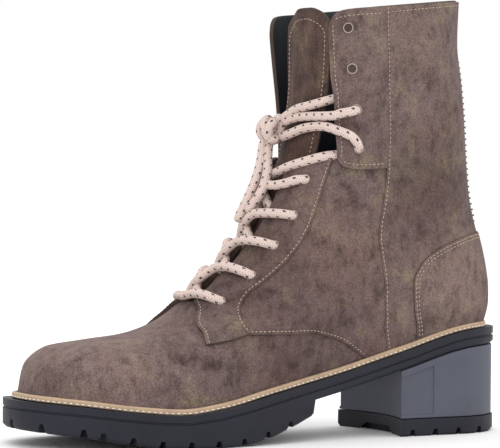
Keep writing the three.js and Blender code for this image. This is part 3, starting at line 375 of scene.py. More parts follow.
CREASES = (
    Crease((-33.0, 77.0), (-20.0, 60.0), 5.0, 0.7),
    Crease((-27.0, 84.0), (-10.0, 62.0), 4.0, -0.5),
    Crease((-42.0, 72.0), (-34.0, 60.0), 5.0, -0.5),
    Crease((40.0, 118.0), (75.0, 108.0), 7.0, 0.9),
    Crease((30.0, 104.0), (62.0, 98.0), 6.0, -0.6),
    Crease((84.0, 118.0), (108.0, 112.0), 7.0, 0.8),
    Crease((78.0, 104.0), (104.0, 96.0), 6.0, -0.5),
    Crease((60.0, 150.0), (86.0, 142.0), 9.0, 0.6),
    Crease((15.0, 90.0), (38.0, 70.0), 8.0, -0.6),
)
# How far the leather stands out beside the closed zip, and how wide that ridge is, in millimetres
ZIP_RIDGE = 3.7
ZIP_RIDGE_WIDTH = 7.5


def relief(points: np.ndarray) -> np.ndarray:
    """How far worn-in creases and slack move the leather outwards.

    Args:
        points: Points on the last, in metres, shape (N, 3).

    Returns:
        The distances outwards, in metres.
    """
    x, y, z = (points / MM).T
    moved = 0.18 * np.sin(x / 13 + 1.7 * np.sin(z / 17)) + 0.15 * np.sin(z / 11 + x / 23 + y / 19)
    for crease in CREASES:
        start, end = np.array(crease.start), np.array(crease.end)
        span = end - start
        share = ((x - start[0]) * span[0] + (z - start[1]) * span[1]) / (span @ span)
        held = np.clip(share, 0, 1)
        away = np.hypot(x - start[0] - held * span[0], z - start[1] - held * span[1])
        moved -= crease.depth * np.exp(-((away / crease.width) ** 2))
    shaft = np.clip((z - 92) / 22, 0, 1) * np.clip((210 - z) / 12, 0, 1) * (x > 60)
    return (moved + ZIP_RIDGE * shaft * np.exp(-((y / ZIP_RIDGE_WIDTH) ** 2))) * MM


def leather(turn: np.ndarray, up: np.ndarray, out: np.ndarray | float) -> np.ndarray:
    """Points at a distance out from the last with the leather's creases, shape (N, 3)."""
    point, _, _, normal = LAST.frame(turn, up)
    return point + normal * spread(out + relief(point), len(point))


def shifted(turn: np.ndarray, up: np.ndarray, aside: float) -> tuple[np.ndarray, np.ndarray]:
    """Moves a line on the last sideways.

    Args:
        turn: The line's turns.
        up: The line's levels.
        aside: How far it moves to its left, seen from outside, in metres.

    Returns:
        The moved line's turns and levels.
    """
    point, round_, rise, normal = LAST.frame(turn, up)
    move = np.cross(normal, unit(np.gradient(point, axis=0))) * spread(aside, len(point))
    a, b, c = (round_ * round_).sum(1), (round_ * rise).sum(1), (rise * rise).sum(1)
    p, q = (round_ * move).sum(1), (rise * move).sum(1)
    whole = a * c - b * b
    return turn + (c * p - b * q) / whole, up + (a * q - b * p) / whole


def reach_along(points: np.ndarray) -> np.ndarray:
    """How far along a line each of its points lies."""
    return np.concatenate([[0], np.cumsum(np.linalg.norm(np.diff(points, axis=0), axis=1))])


def read_rows(where: np.ndarray | Sequence[float], reach: np.ndarray, rows: np.ndarray) -> np.ndarray:
    """Rows read at places along a line, shape (N, columns)."""
    return np.stack([np.interp(where, reach, column) for column in rows.T], axis=1)


def smooth_line(rows: Rows, count: int) -> np.ndarray:
    """Points evenly along a smooth line through rows.

    Args:
        rows: The line's own points, any number of columns.
        count: How many points to return.

    Returns:
        The points, shape (count, columns).
    """
    knots = np.array(rows, float)
    ghost = np.vstack([2 * knots[0] - knots[1], knots, 2 * knots[-1] - knots[-2]])
    parts = []
    for k in range(1, len(ghost) - 2):
        a, b, c, d = ghost[k - 1 : k + 3]
        t = np.linspace(0, 1, 24, endpoint=False)[:, None]
        m, n = (c - a) / 2, (d - b) / 2
        parts.append(b + m * t + (3 * (c - b) - 2 * m - n) * t**2 + (2 * (b - c) + m + n) * t**3)
    dense = np.vstack([*parts, knots[-1:]])
    reach = reach_along(dense)
    return read_rows(np.linspace(0, reach[-1], count), reach, dense)


def corner_line(*parts: Rows) -> np.ndarray:
    """A line of smooth parts that meet in corners, with 60 points for each part."""
    made = [smooth_line(part, 60) for part in parts]
    return np.vstack([made[0], *[part[1:] for part in made[1:]]])


def read_line(line: np.ndarray, share: np.ndarray) -> np.ndarray:
    """Points at shares of a dense line's length, shape (N, columns)."""
    reach = reach_along(line)
    return read_rows(np.clip(share, 0, 1) * reach[-1], reach, line)


# Making pieces


def patch(
    columns: int,
    rows: int,
    place: Place,
    keep: Callable[[np.ndarray, np.ndarray], np.ndarray] | None = None,
    size: tuple[float, float] = (1.0, 1.0),
    flip: bool = True,
) -> Mesh:
    """A grid whose points are moved onto a surface.

    Args:
        columns: Steps across.
        rows: Steps up.
        place: Gives the points for shares across and up.
        keep: Says which faces stay, from the shares of their middles.
        size: What the UV map's width and height are worth.
        flip: Turns the faces round, so that they face out of the last.

    Returns:
        The mesh being made.
    """
    bm = bmesh.new()
    bmesh.ops.create_grid(bm, x_segments=columns, y_segments=rows, size=0.5, calc_uvs=True)
    uv = bm.loops.layers.uv.verify()
    for face in bm.faces:
        for loop in face.loops:
            loop[uv].uv = ((loop.vert.co.x + 0.5) * size[0], (loop.vert.co.y + 0.5) * size[1])
    if keep is not None:
        middles = np.array([face.calc_center_median()[:2] for face in bm.faces]) + 0.5
        stays = keep(middles[:, 0], middles[:, 1])
        gone = [face for face, stay in zip(bm.faces[:], stays) if not stay]
        bmesh.ops.delete(bm, geom=gone, context="FACES")
    flat = np.array([vert.co[:2] for vert in bm.verts]) + 0.5
    for vert, point in zip(bm.verts, place(flat[:, 0], flat[:, 1])):
        vert.co = point
    if flip:
        bmesh.ops.reverse_faces(bm, faces=bm.faces)
    return bm


def weld(bm: Mesh, distance: float = 0.01 * MM) -> Mesh:
    """Merges points that lie on each other and drops faces without an area."""
    bmesh.ops.remove_doubles(bm, verts=bm.verts, dist=distance)
    bmesh.ops.dissolve_degenerate(bm, edges=bm.edges, dist=distance / 10)
    return bm


def join(parts: Sequence[Mesh]) -> Mesh:
    """All of the parts in one mesh."""
    whole = bmesh.new()
    for part in parts:
        mesh = bpy.data.meshes.new("part")
        part.to_mesh(mesh)
        part.free()
        whole.from_mesh(mesh)
        bpy.data.meshes.remove(mesh)
    return whole


def tube(points: np.ndarray, radius: float, around: int = 14) -> Mesh:
    """A round tube along points, with domed ends.

    Args:
        points: The points that it follows, in metres, shape (N, 3).
        radius: Its radius.
        around: Its steps around.

    Returns:
        The mesh, with a UV map of turns around and metres along.
    """
    along = unit(np.gradient(points, axis=0))
    side = np.cross(along[0], (0, 0, 1.0))
    if np.linalg.norm(side) < 1e-6:
        side = np.array((1.0, 0, 0))
    sides = []
    for direction in along:
        side = side - direction * (side @ direction)
        side = side / np.linalg.norm(side)
        sides.append(side)
    sides = np.array(sides)
    ups = np.cross(along, sides)
    reach = reach_along(points)
    last = len(points) - 1

    def place(s: np.ndarray, t: np.ndarray) -> np.ndarray:
        """Points round the tube."""
        k = np.rint(t * last).astype(int)
        angle = 2 * np.pi * s
        end = np.minimum(reach[k], reach[-1] - reach[k])
        held = radius * np.sqrt(1 - (1 - np.clip(end / (0.6 * radius), 0.15, 1)) ** 2)
        wide, high = (np.cos(angle) * held)[:, None], (np.sin(angle) * held)[:, None]
        return points[k] + wide * sides[k] + high * ups[k]

    bm = patch(around, last, place, size=(1.0, float(reach[-1])), flip=False)
    bmesh.ops.remove_doubles(bm, verts=bm.verts, dist=0.001 * MM)
    rims = [edge for edge in bm.edges if edge.is_boundary]
    bmesh.ops.holes_fill(bm, edges=rims, sides=around)
    bmesh.ops.recalc_face_normals(bm, faces=bm.faces)
    return bm


def even_line(knots: np.ndarray, spacing: float = 0.7 * MM) -> np.ndarray:
    """A smooth line through points, with its own points evenly apart."""
    length = np.linalg.norm(np.diff(knots, axis=0), axis=1).sum()
    return smooth_line(knots, max(int(length / spacing), 8))


def knots_of(rows: Rows) -> np.ndarray:
    """Points for rows of turns, levels and distances out from the last in millimetres."""
    turn, up, out = np.array(rows, float).T
    return LAST.surface(turn, up, out * MM)


def standing(middle: Vector, along: Vector, aside: Vector, over: Vector) -> Matrix:
    """Puts a shape's X, Y and Z at a place along three ways."""
    return Matrix.Translation(middle) @ Matrix((along, aside, over)).transposed().to_4x4()


def make_object(bm: Mesh, name: str, materials: Sequence[Material]) -> Piece:
    """A smooth-shaded object made from a mesh."""
    mesh = bpy.data.meshes.new(name)
    bm.to_mesh(mesh)
    bm.free()
    mesh.polygons.foreach_set("use_smooth", [True] * len(mesh.polygons))
    for material in materials:
        mesh.materials.append(material)
    made = bpy.data.objects.new(name, mesh)
    bpy.context.scene.collection.objects.link(made)
    return made


def bevelled(made: Piece, width: float, segments: int = 2, angle: float = 40.0) -> Piece:
    """Rounds an object's sharp edges."""
    bevel = made.modifiers.new("rounded_edges", "BEVEL")
    bevel.width = width
    bevel.segments = segments
    bevel.limit_method = "ANGLE"
    bevel.angle_limit = math.radians(angle)
    return made


def walled(made: Piece, wall: float, inner: int = 0, rim: int = 0) -> Piece:
    """Gives a sheet object a wall behind its face.

    Args:
        made: The object.
        wall: The wall's thickness.
        inner: Material slot steps from the face to the back.
        rim: Material slot steps from the face to the cut edge.

    Returns:
        The object.
    """
    solid = made.modifiers.new("wall", "SOLIDIFY")
    solid.thickness = wall
    solid.offset = -1
    solid.use_even_offset = False
    solid.material_offset = inner
    solid.material_offset_rim = rim
    return made


def merged_copy(node: str) -> Mesh:
    """A CAD node's mesh, with its loose triangles merged."""
    bm = bmesh.new()
    bm.from_mesh(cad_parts[node].data)
    bmesh.ops.remove_doubles(bm, verts=bm.verts, dist=0.005 * MM)
    return bm


def placed(made: Piece, slot: str, *nodes: str, body: str = BOOT) -> Piece:
    """Lets a piece ride on its body and stand for CAD nodes, which it hides."""
    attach(made, body)
    if nodes:
        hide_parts(*nodes)
    LOG.info("%s: %d faces", made.name, len(made.data.polygons))
    return made


# Finishes


def linear(code: str) -> tuple[float, float, float, float]:
    """The linear colour of an sRGB hex value."""
    parts = [int(code[k : k + 2], 16) / 255 for k in (0, 2, 4)]
    made = [c / 12.92 if c <= 0.04045 else ((c + 0.055) / 1.055) ** 2.4 for c in parts]
    return (*made, 1.0)


def add(
    tree: Tree,
    kind: str,
    inputs: Sequence | dict = (),
    output: int | str = 0,
    stops: Sequence[tuple[float, str]] = (),
    **settings,
) -> Socket:
    """Adds a shader node with its settings and links.

    Args:
        tree: The tree that it goes in.
        kind: The node's type after "ShaderNode".
        inputs: Values or sockets for its inputs, in order or by name or number.
        output: Which of its outputs is wanted.
        stops: A colour ramp's stops, each a place and an sRGB hex value.
        settings: Its own properties.

    Returns:
        The wanted output.
    """
    made = tree.nodes.new("ShaderNode" + kind)
    for name, value in settings.items():
        setattr(made, name, value)
    for key, value in inputs.items() if isinstance(inputs, dict) else enumerate(inputs):
        if isinstance(value, Socket):
            tree.links.new(value, made.inputs[key])
        else:
            made.inputs[key].default_value = value
    for _ in stops[2:]:
        made.color_ramp.elements.new(0.5)
    for k, (place, code) in enumerate(stops):
        made.color_ramp.elements[k].position = place
        made.color_ramp.elements[k].color = linear(code)
    return made.outputs[output]


@dataclass(frozen=True)
class Grain:
    """A noise: its grain in millimetres, detail and roughness."""

    size: float
    detail: float = 3.0
    rough: float = 0.5
    stretch: Triple = (1.0, 1.0, 1.0)
    shift: Triple = (0.0, 0.0, 0.0)

    def value(self, tree: Tree, where: Socket) -> Socket:
        """The noise's factor at a place."""
        mapped = add(tree, "Mapping", {"Vector": where, "Scale": self.stretch, "Location": self.shift})
        scale = 1 / (self.size * MM)
        links = {"Vector": mapped, "Scale": scale, "Detail": self.detail, "Roughness": self.rough}
        return add(tree, "TexNoise", links, "Fac")


@dataclass(frozen=True)
class Finish:
    """A finish of one colour with a fine grain; the others build on it."""

    name: str
    color: str
    roughness: float = 0.6
    metallic: float = 0.0
    sheen: float = 0.0
    specular: float = 0.5
    variation: float = 0.12
    patch: float = 12.0
    grain: float = 0.5
    bump: float = 0.1
    depth: float = 0.2

    def base(self, tree: Tree, where: Socket) -> Socket:
        """The base colour, with soft patches a shade darker and lighter."""
        cloud = Grain(self.patch, 4.0, 0.6).value(tree, where)
        wide = add(tree, "Math", (cloud, 2.4, -0.7), operation="MULTIPLY_ADD")
        low, high = (
            (*(part * (1 + change) for part in linear(self.color)[:3]), 1.0)
            for change in (-self.variation, self.variation)
        )
        return add(tree, "Mix", {0: add(tree, "Clamp", (wide,)), 6: low, 7: high}, 2, data_type="RGBA")

    def height(self, tree: Tree, where: Socket) -> Socket:
        """The relief's height for the bump, 0 to 1."""
        return Grain(self.grain, 3.0, 0.6).value(tree, where)

    def material(self) -> Material:
        """The finish as a material."""
        made = bpy.data.materials.new(self.name)
        made.use_nodes = True
        tree = made.node_tree
        inputs = tree.nodes["Principled BSDF"].inputs
        where = add(tree, "TexCoord", output="Object")
        tree.links.new(self.base(tree, where), inputs["Base Color"])
        inputs["Roughness"].default_value = self.roughness
        inputs["Metallic"].default_value = self.metallic
        inputs["Specular IOR Level"].default_value = self.specular
        inputs["Sheen Weight"].default_value = self.sheen
        inputs["Sheen Roughness"].default_value = 0.5
        links = {"Height": self.height(tree, where), "Strength": self.bump, "Distance": self.depth * MM}
        tree.links.new(add(tree, "Bump", links), inputs["Normal"])
        return made


@dataclass(frozen=True)
class Zone:
    """A broad area of painted light and shade on the suede: its middle and reach in millimetres."""

    middle: Triple
    reach: float
    color: str
    share: float


# Painted light and shade: the suede is painted lighter at the toe, counter and shaft top and darker at the
# ankle, vamp and instep
ZONES = (
    Zone((-100.0, 0.0, 50.0), 60.0, "9a827c", 0.6),
    Zone((102.0, -20.0, 84.0), 46.0, "9c857b", 0.65),
    Zone((85.0, -30.0, 128.0), 48.0, "594743", 0.55),
    Zone((0.0, -40.0, 58.0), 62.0, "665250", 0.55),
    Zone((62.0, -40.0, 205.0), 52.0, "8f7b72", 0.5),
    Zone((-18.0, -20.0, 105.0), 46.0, "60493f", 0.55),
    Zone((40.0, -40.0, 98.0), 40.0, "84695f", 0.4),
)


@dataclass(frozen=True)
class Suede(Finish):
    """Brushed suede: a matt nap with clouds where it is stroked, and broad painted light and shade."""

    dark: str = "4e3f3d"
    light: str = "93826f"
    warm: str = "866a65"
    olive: str = "7f735f"
    roughness: float = 0.93
    sheen: float = 0.04
    specular: float = 0.15
    bump: float = 0.55
    depth: float = 0.35
    grain: float = 0.7

    def base(self, tree: Tree, where: Socket) -> Socket:
        """Taupe in clouds of 10 to 40 mm, warm and olive patches, and fibres under 1 mm."""
        cloud = Grain(19.0, 6.0, 0.62, (1.0, 1.0, 1.15)).value(tree, where)
        shades = ((0.33, self.dark), (0.47, self.color), (0.54, self.color), (0.67, self.light))
        made = add(tree, "ValToRGB", (cloud,), stops=shades)
        tints = (
            (Grain(34.0, 3.0, 0.5, shift=(0.3, 0.1, 0.7)), 0.45, 0.7, 0.6, self.warm),
            (Grain(27.0, 3.0, 0.5, shift=(0.9, 0.4, 0.2)), 0.5, 0.72, 0.3, self.olive),
        )
        for grain, low, high, share, color in tints:
            stops = ((low, "000000"), (high, "ffffff"))
            cloud = add(tree, "ValToRGB", (grain.value(tree, where),), stops=stops)
            factor = add(tree, "Math", (cloud, share), operation="MULTIPLY")
            made = add(tree, "Mix", {0: factor, 6: made, 7: linear(color)}, 2, data_type="RGBA")
        # Painted light and shade in broad areas over the boot, from ZONES
        made = self.painted_light_and_shade(tree, where, made)
        naps = (
            (Grain(5.0, 5.0, 0.7, (1.0, 1.0, 0.6)), 1.0, ((0.3, "b4b4b4"), (0.5, "efefef"), (0.7, "ffffff"))),
            (Grain(0.9, 2.0, 0.7), 0.8, ((0.32, "a8a8a8"), (0.68, "ffffff"))),
        )
        for grain, share, stops in naps:
            shade = add(tree, "ValToRGB", (grain.value(tree, where),), stops=stops)
            links = {0: share, 6: made, 7: shade}
            made = add(tree, "Mix", links, 2, data_type="RGBA", blend_type="MULTIPLY")
        return made

    def painted_light_and_shade(self, tree: Tree, where: Socket, made: Socket) -> Socket:
        """Painted light and shade: broad areas painted lighter where light falls on the boot and darker where
        it lies in shade.
        """
        for zone in ZONES:
            middle = [part * MM for part in zone.middle]
            away = add(tree, "VectorMath", (where, middle), operation="SUBTRACT")
            flat = add(tree, "VectorMath", (away, (1.0, 0.25, 1.0)), operation="MULTIPLY")
            far = add(tree, "VectorMath", (flat,), "Value", operation="LENGTH")
            links = (far, 0.0, zone.reach * MM, zone.share, 0.0)
            near = add(tree, "MapRange", links, interpolation_type="SMOOTHSTEP")
            made = add(tree, "Mix", {0: near, 6: made, 7: linear(zone.color)}, 2, data_type="RGBA")
        return made

    def height(self, tree: Tree, where: Socket) -> Socket:
        """Nap under 1 mm over soft grain of 4 mm."""
        nap = add(tree, "Math", (Grain(self.grain, 4.0, 0.7).value(tree, where), 0.6), operation="MULTIPLY")
        soft = Grain(4.5, 3.0, 0.5).value(tree, where)
        return add(tree, "Math", (soft, 0.8, nap), operation="MULTIPLY_ADD")


@dataclass(frozen=True)
class BraidedCord(Finish):
    """Round polyester lace: fine slanted plaits with dark flecks woven in.

    plait and fleck_pitch are in millimetres; the plaits are drawn coarser than real ones, to show.
    """

    fleck: str = "4b3840"
    plait: float = 1.1
    fleck_pitch: float = 5.2

    def uv(self, tree: Tree) -> tuple[Socket, Socket]:
        """Turns around and millimetres along the lace."""
        where = add(tree, "TexCoord", output="UV")
        around, along = (add(tree, "SeparateXYZ", (where,), k) for k in (0, 1))
        return around, add(tree, "Math", (along, MM), operation="DIVIDE")

    def weave(self, tree: Tree) -> Socket:
        """Height of the plaits, 0 to 1: two sets of slanted strands."""
        around, along = self.uv(tree)
        turns = add(tree, "Math", (around, 5.0), operation="MULTIPLY")
        pitch = add(tree, "Math", (along, self.plait), operation="DIVIDE")
        waves = []
        for way in ("ADD", "SUBTRACT"):
            slant = add(tree, "Math", (turns, pitch), operation=way)
            angle = add(tree, "Math", (slant, 2 * math.pi), operation="MULTIPLY")
            waves.append(add(tree, "Math", (angle,), operation="SINE"))
        top = add(tree, "Math", waves, operation="MAXIMUM")
        return add(tree, "Math", (top, 0.5, 0.5), operation="MULTIPLY_ADD")

    def fleck_mark(self, tree: Tree) -> Socket:
        """1 on the flecks, which stand in four staggered columns round the lace, and 0 elsewhere."""
        around, along = self.uv(tree)
        column = add(tree, "Math", (around, 4.0), operation="MULTIPLY")
        row = add(tree, "Math", (column,), operation="FLOOR")
        pitch = add(tree, "Math", (along, self.fleck_pitch), operation="DIVIDE")
        cell = add(tree, "Math", (row, 0.5, pitch), operation="MULTIPLY_ADD")
        parts = [add(tree, "Math", (value,), operation="FRACT") for value in (column, cell)]
        x, y = (add(tree, "Math", (part, 0.5), operation="SUBTRACT") for part in parts)
        slant = add(tree, "Math", (x, -0.25, y), operation="MULTIPLY_ADD")
        far = []
        for value, size in ((x, 6.2), (slant, 8.5)):
            away = add(tree, "Math", (value,), operation="ABSOLUTE")
            far.append(add(tree, "Math", (away, size), operation="MULTIPLY"))
        return add(tree, "Math", (add(tree, "Math", far, operation="MAXIMUM"), 1.0), operation="LESS_THAN")

    def base(self, tree: Tree, where: Socket) -> Socket:
        """Pinkish beige with painted shade in the gaps between the plaits, and short dark flecks."""
        plain = Finish.base(self, tree, where)
        # Painted shade: the gaps between the plaits are painted darker
        gaps = add(tree, "ValToRGB", (self.weave(tree),), stops=((0.05, "a08f8c"), (0.5, "ffffff")))
        links = {0: 0.75, 6: plain, 7: gaps}
        plaited = add(tree, "Mix", links, 2, data_type="RGBA", blend_type="MULTIPLY")
        links = {0: self.fleck_mark(tree), 6: plaited, 7: linear(self.fleck)}
        return add(tree, "Mix", links, 2, data_type="RGBA")

    def height(self, tree: Tree, where: Socket) -> Socket:
        """The plaits stand out of the gaps between them."""
        return self.weave(tree)


@dataclass(frozen=True)
class Finishes:
    """The boot's materials."""

    suede: Material
    tongue: Material
    edge: Material
    lining: Material
    rubber: Material
    heel: Material
    welt: Material
    stitch: Material
    welt_thread: Material
    lace: Material
    brass: Material
    nickel: Material
    tape: Material

    @staticmethod
    def make() -> "Finishes":
        """Builds every material."""
        return Finishes(
            # Calf suede, brushed: no gloss, and clouds where the nap lies another way
            suede=Suede("taupe_brushed_suede", "7d6a68").material(),
            # The same hide, darker and warmer, as it lies in the boot's own shade
            tongue=Suede(
                "shaded_tongue_suede", "57443f", dark="392c2b", light="75614f", warm="6b4f48"
            ).material(),
            # Cut hide: rough, dark fibres; the colour is also painted shade, for the shadow along the edges
            # and in the eyelet holes
            edge=Finish("cut_edge_and_painted_shade", "45372f", 0.95, bump=0.3).material(),
            # Embossed lining leather: near black, with a fine grain
            lining=Finish("dark_grain_lining", "12151c", 0.6, grain=0.6, bump=0.25).material(),
            # Moulded rubber: black, half matt, with a faint grain
            rubber=Finish(
                "moulded_black_rubber", "24252d", 0.55, patch=30.0, grain=0.35, bump=0.15, specular=0.2
            ).material(),
            # The heel's smooth face throws back the floor, which makes it a cold grey
            heel=Finish("heel_rubber", "484b58", 0.6, patch=30.0, grain=0.35, bump=0.15).material(),
            # Vegetable-tanned leather strip: light tan and uneven
            welt=Finish("tan_leather_welt", "b59b80", 0.7, patch=7.0, grain=0.6, bump=0.3).material(),
            # Polyester sewing threads: pale and slightly shiny
            stitch=Finish("taupe_polyester_thread", "b3a08c", 0.7, bump=0.2).material(),
            welt_thread=Finish("cream_welt_thread", "ece3d4", 0.7, bump=0.2).material(),
            # Braided round lace: soft, with plaits that catch the light
            lace=BraidedCord(
                "pink_beige_braided_lace", "d5c1b8", 0.85, variation=0.05, bump=0.5, depth=0.35
            ).material(),
            # Blackened brass zip and lacquered eyelets: dull metal
            brass=Finish("darkened_brass", "5b534e", 0.4, 1.0, patch=4.0).material(),
            nickel=Finish("pale_eyelet_rim", "a59a93", 0.55, 1.0, patch=4.0).material(),
            # Woven zip tape: matt and dark
            tape=Finish("woven_zip_tape", "3a332f", 0.85, grain=0.4, bump=0.4).material(),
        )


# The camera, laces, knot and loose ends


@dataclass(frozen=True)
class Studio:
    """Camera at the photo's angle, a pale floor and soft lights.

    Each lamp has a name, a place, a size in metres and a power in watts.
    """

    azimuth: float = -28.0
    elevation: float = 1.2
    distance: float = 1.35
    aim: Triple = (0.0, 0.0, 0.105)
    roll: float = 0.5
    lens: float = 187.6
    shift: tuple[float, float] = (-0.01843, 0.01944)
    lamps: tuple[tuple[str, Triple, float, float], ...] = (
        ("key", (-0.9, -1.3, 1.3), 1.2, 9.0),
        ("fill", (1.1, -1.0, 0.8), 1.4, 2.0),
        ("rim", (0.2, 1.4, 1.2), 1.2, 6.0),
    )
    lit_at: Triple = (0.0, 0.0, 0.1)

    def camera(self) -> None:
        """Creates the camera and makes it the scene's."""
        a, e, r = (math.radians(v) for v in (self.azimuth, self.elevation, self.roll))
        away = Vector((math.sin(a) * math.cos(e), -math.cos(a) * math.cos(e), math.sin(e)))
        right = (-away).cross(Vector((0, 0, 1))).normalized()
        over = right.cross(-away)
        tilted = right * math.cos(r) + over * math.sin(r)
        high = over * math.cos(r) - right * math.sin(r)
        data = bpy.data.cameras.new("photo_camera")
        data.lens = self.lens
        data.sensor_width = 36.0
        data.shift_x, data.shift_y = self.shift
        data.clip_end = 20.0
        made = bpy.data.objects.new("photo_camera", data)
        made.matrix_world = standing(Vector(self.aim) + away * self.distance, tilted, high, away)
        bpy.context.scene.collection.objects.link(made)
        bpy.context.scene.camera = made

    def lamp(self, name: str, place: Triple, size: float, power: float) -> None:
        """Adds a square soft lamp that faces the boot."""
        data = bpy.data.lights.new(name, "AREA")
        data.size = size
        data.energy = power
        made = bpy.data.objects.new(name, data)
        made.location = place
        made.rotation_euler = (Vector(self.lit_at) - Vector(place)).to_track_quat("-Z", "Y").to_euler()
        bpy.context.scene.collection.objects.link(made)

    def build(self) -> None:
        """Lays the floor, fills the room with light and adds the lamps."""
        bm = bmesh.new()
        bmesh.ops.create_grid(bm, x_segments=1, y_segments=1, size=6.0)
        material = Finish("pale_floor", "fbfafa", 0.95, variation=0.005, bump=0.0).material()
        make_object(bm, "floor", [material])
        world = bpy.data.worlds.new("room")
        world.use_nodes = True
        room = world.node_tree.nodes["Background"].inputs
        room[0].default_value = (1, 1, 1, 1)
        room[1].default_value = 1.0
        bpy.context.scene.world = world
        sun = bpy.data.lights.new("overhead", "SUN")
        sun.energy, sun.angle = 0.5, 1.0
        bpy.context.scene.collection.objects.link(bpy.data.objects.new("overhead", sun))
        for lamp in self.lamps:
            self.lamp(*lamp)
        bpy.context.scene.view_settings.view_transform = "Standard"


KNOT_AT = (1.034, 0.775, 7.0)
LACE_RADIUS = 2.4 * MM
LOOSE_ENDS = {
    "lace_end_inner": (
        (1.052, 0.738, 9.4), (1.04, 0.718, 9.6), (1.024, 0.692, 9.8), (1.016, 0.662, 10.0),
        (1.014, 0.634, 10.0), (1.017, 0.605, 9.8), (1.021, 0.585, 9.3), (1.018, 0.57, 8.8),
    ),
    "lace_end_outer": (
        (1.036, 0.735, 7.2), (1.02, 0.712, 7.0), (0.998, 0.69, 7.2), (0.983, 0.665, 7.4),
        (0.98, 0.642, 7.5), (0.988, 0.624, 7.6), (1.0, 0.606, 7.6), (1.012, 0.597, 7.4),
    ),
}


@dataclass(frozen=True)
class Knot:
    """The reef knot in front of the tongue: two wraps and a bight, in millimetres from its middle."""

    wraps: tuple[tuple[Triple, ...], ...] = (
        (
            (-1.5, -4.6, 4.2), (-4.2, -4.4, 0.5), (-4.4, -3.4, -4.0), (-1.5, -1.4, -6.0),
            (2.0, -1.0, -4.5), (3.0, -2.6, 0.5), (1.5, -4.0, 4.4), (-1.6, -4.4, 4.4),
        ),
        ((0.5, 3.6, 4.6), (-3.2, 2.2, 3.6), (-5.0, -0.6, -0.5), (-3.6, -3.4, -5.0), (0.5, -4.0, -5.6)),
        (
            (-1.0, 3.5, 3.8), (-3.5, 6.2, 1.2), (-3.0, 6.4, -3.4), (0.2, 4.0, -5.4),
            (3.0, 1.5, -3.0), (2.4, 2.2, 2.2), (-0.8, 3.0, 4.0),
        ),
    )
    slack: float = 1.08
    reach: Triple = (5.0, 7.5, 7.5)

    @property
    def middle(self) -> Vector:
        """Where the knot sits."""
        return LAST.at(KNOT_AT[0], KNOT_AT[1], KNOT_AT[2] * MM)

    def build(self, finish: Finishes) -> Piece:
        """Ties the knot and returns it."""
        lines = [np.array(self.middle) + np.array(rows) * self.slack * MM for rows in self.wraps]
        parts = [tube(even_line(line, 0.5 * MM), LACE_RADIUS) for line in lines]
        return placed(make_object(join(parts), "lace_knot_wraps", [finish.lace]), "lace", "lace_knot")


@dataclass(frozen=True)
class LooseEnds:
    """The two free ends that hang from the knot."""

    knot: Knot
    path_points: int = 24

    def start(self, first: Vector) -> Vector:
        """Where an end leaves the knot's face, towards its first point."""
        away = first - self.knot.middle
        share = Vector([a / (s * MM) for a, s in zip(away, self.knot.reach)]).length
        return self.knot.middle + away.normalized() * (away.length / share + 0.3 * MM)

    def build(self, finish: Finishes, knot: Piece) -> None:
        for name, rows in LOOSE_ENDS.items():
            knots = knots_of(rows)
            begin = self.start(Vector(knots[0]))
            line = even_line(np.vstack([np.array(begin), knots]))
            made = make_object(tube(line, LACE_RADIUS), f"{name}_cord", [finish.lace])
            placed(made, "lace", name)


@dataclass(frozen=True)
class Eyelet:
    """Where an eyelet is: its turn and level on the outer side, and its panel."""

    turn: float
    up: float
    on_flap: bool


EYELETS = (
    Eyelet(0.826, 0.367, False),
    Eyelet(0.812, 0.438, False),
    Eyelet(0.82, 0.519, False),
    Eyelet(0.815, 0.587, False),
    Eyelet(0.83, 0.667, False),
    Eyelet(0.659, 0.704, True),
    Eyelet(0.7, 0.793, True),
    Eyelet(0.738, 0.88, True),
    Eyelet(0.762, 0.962, True),
)


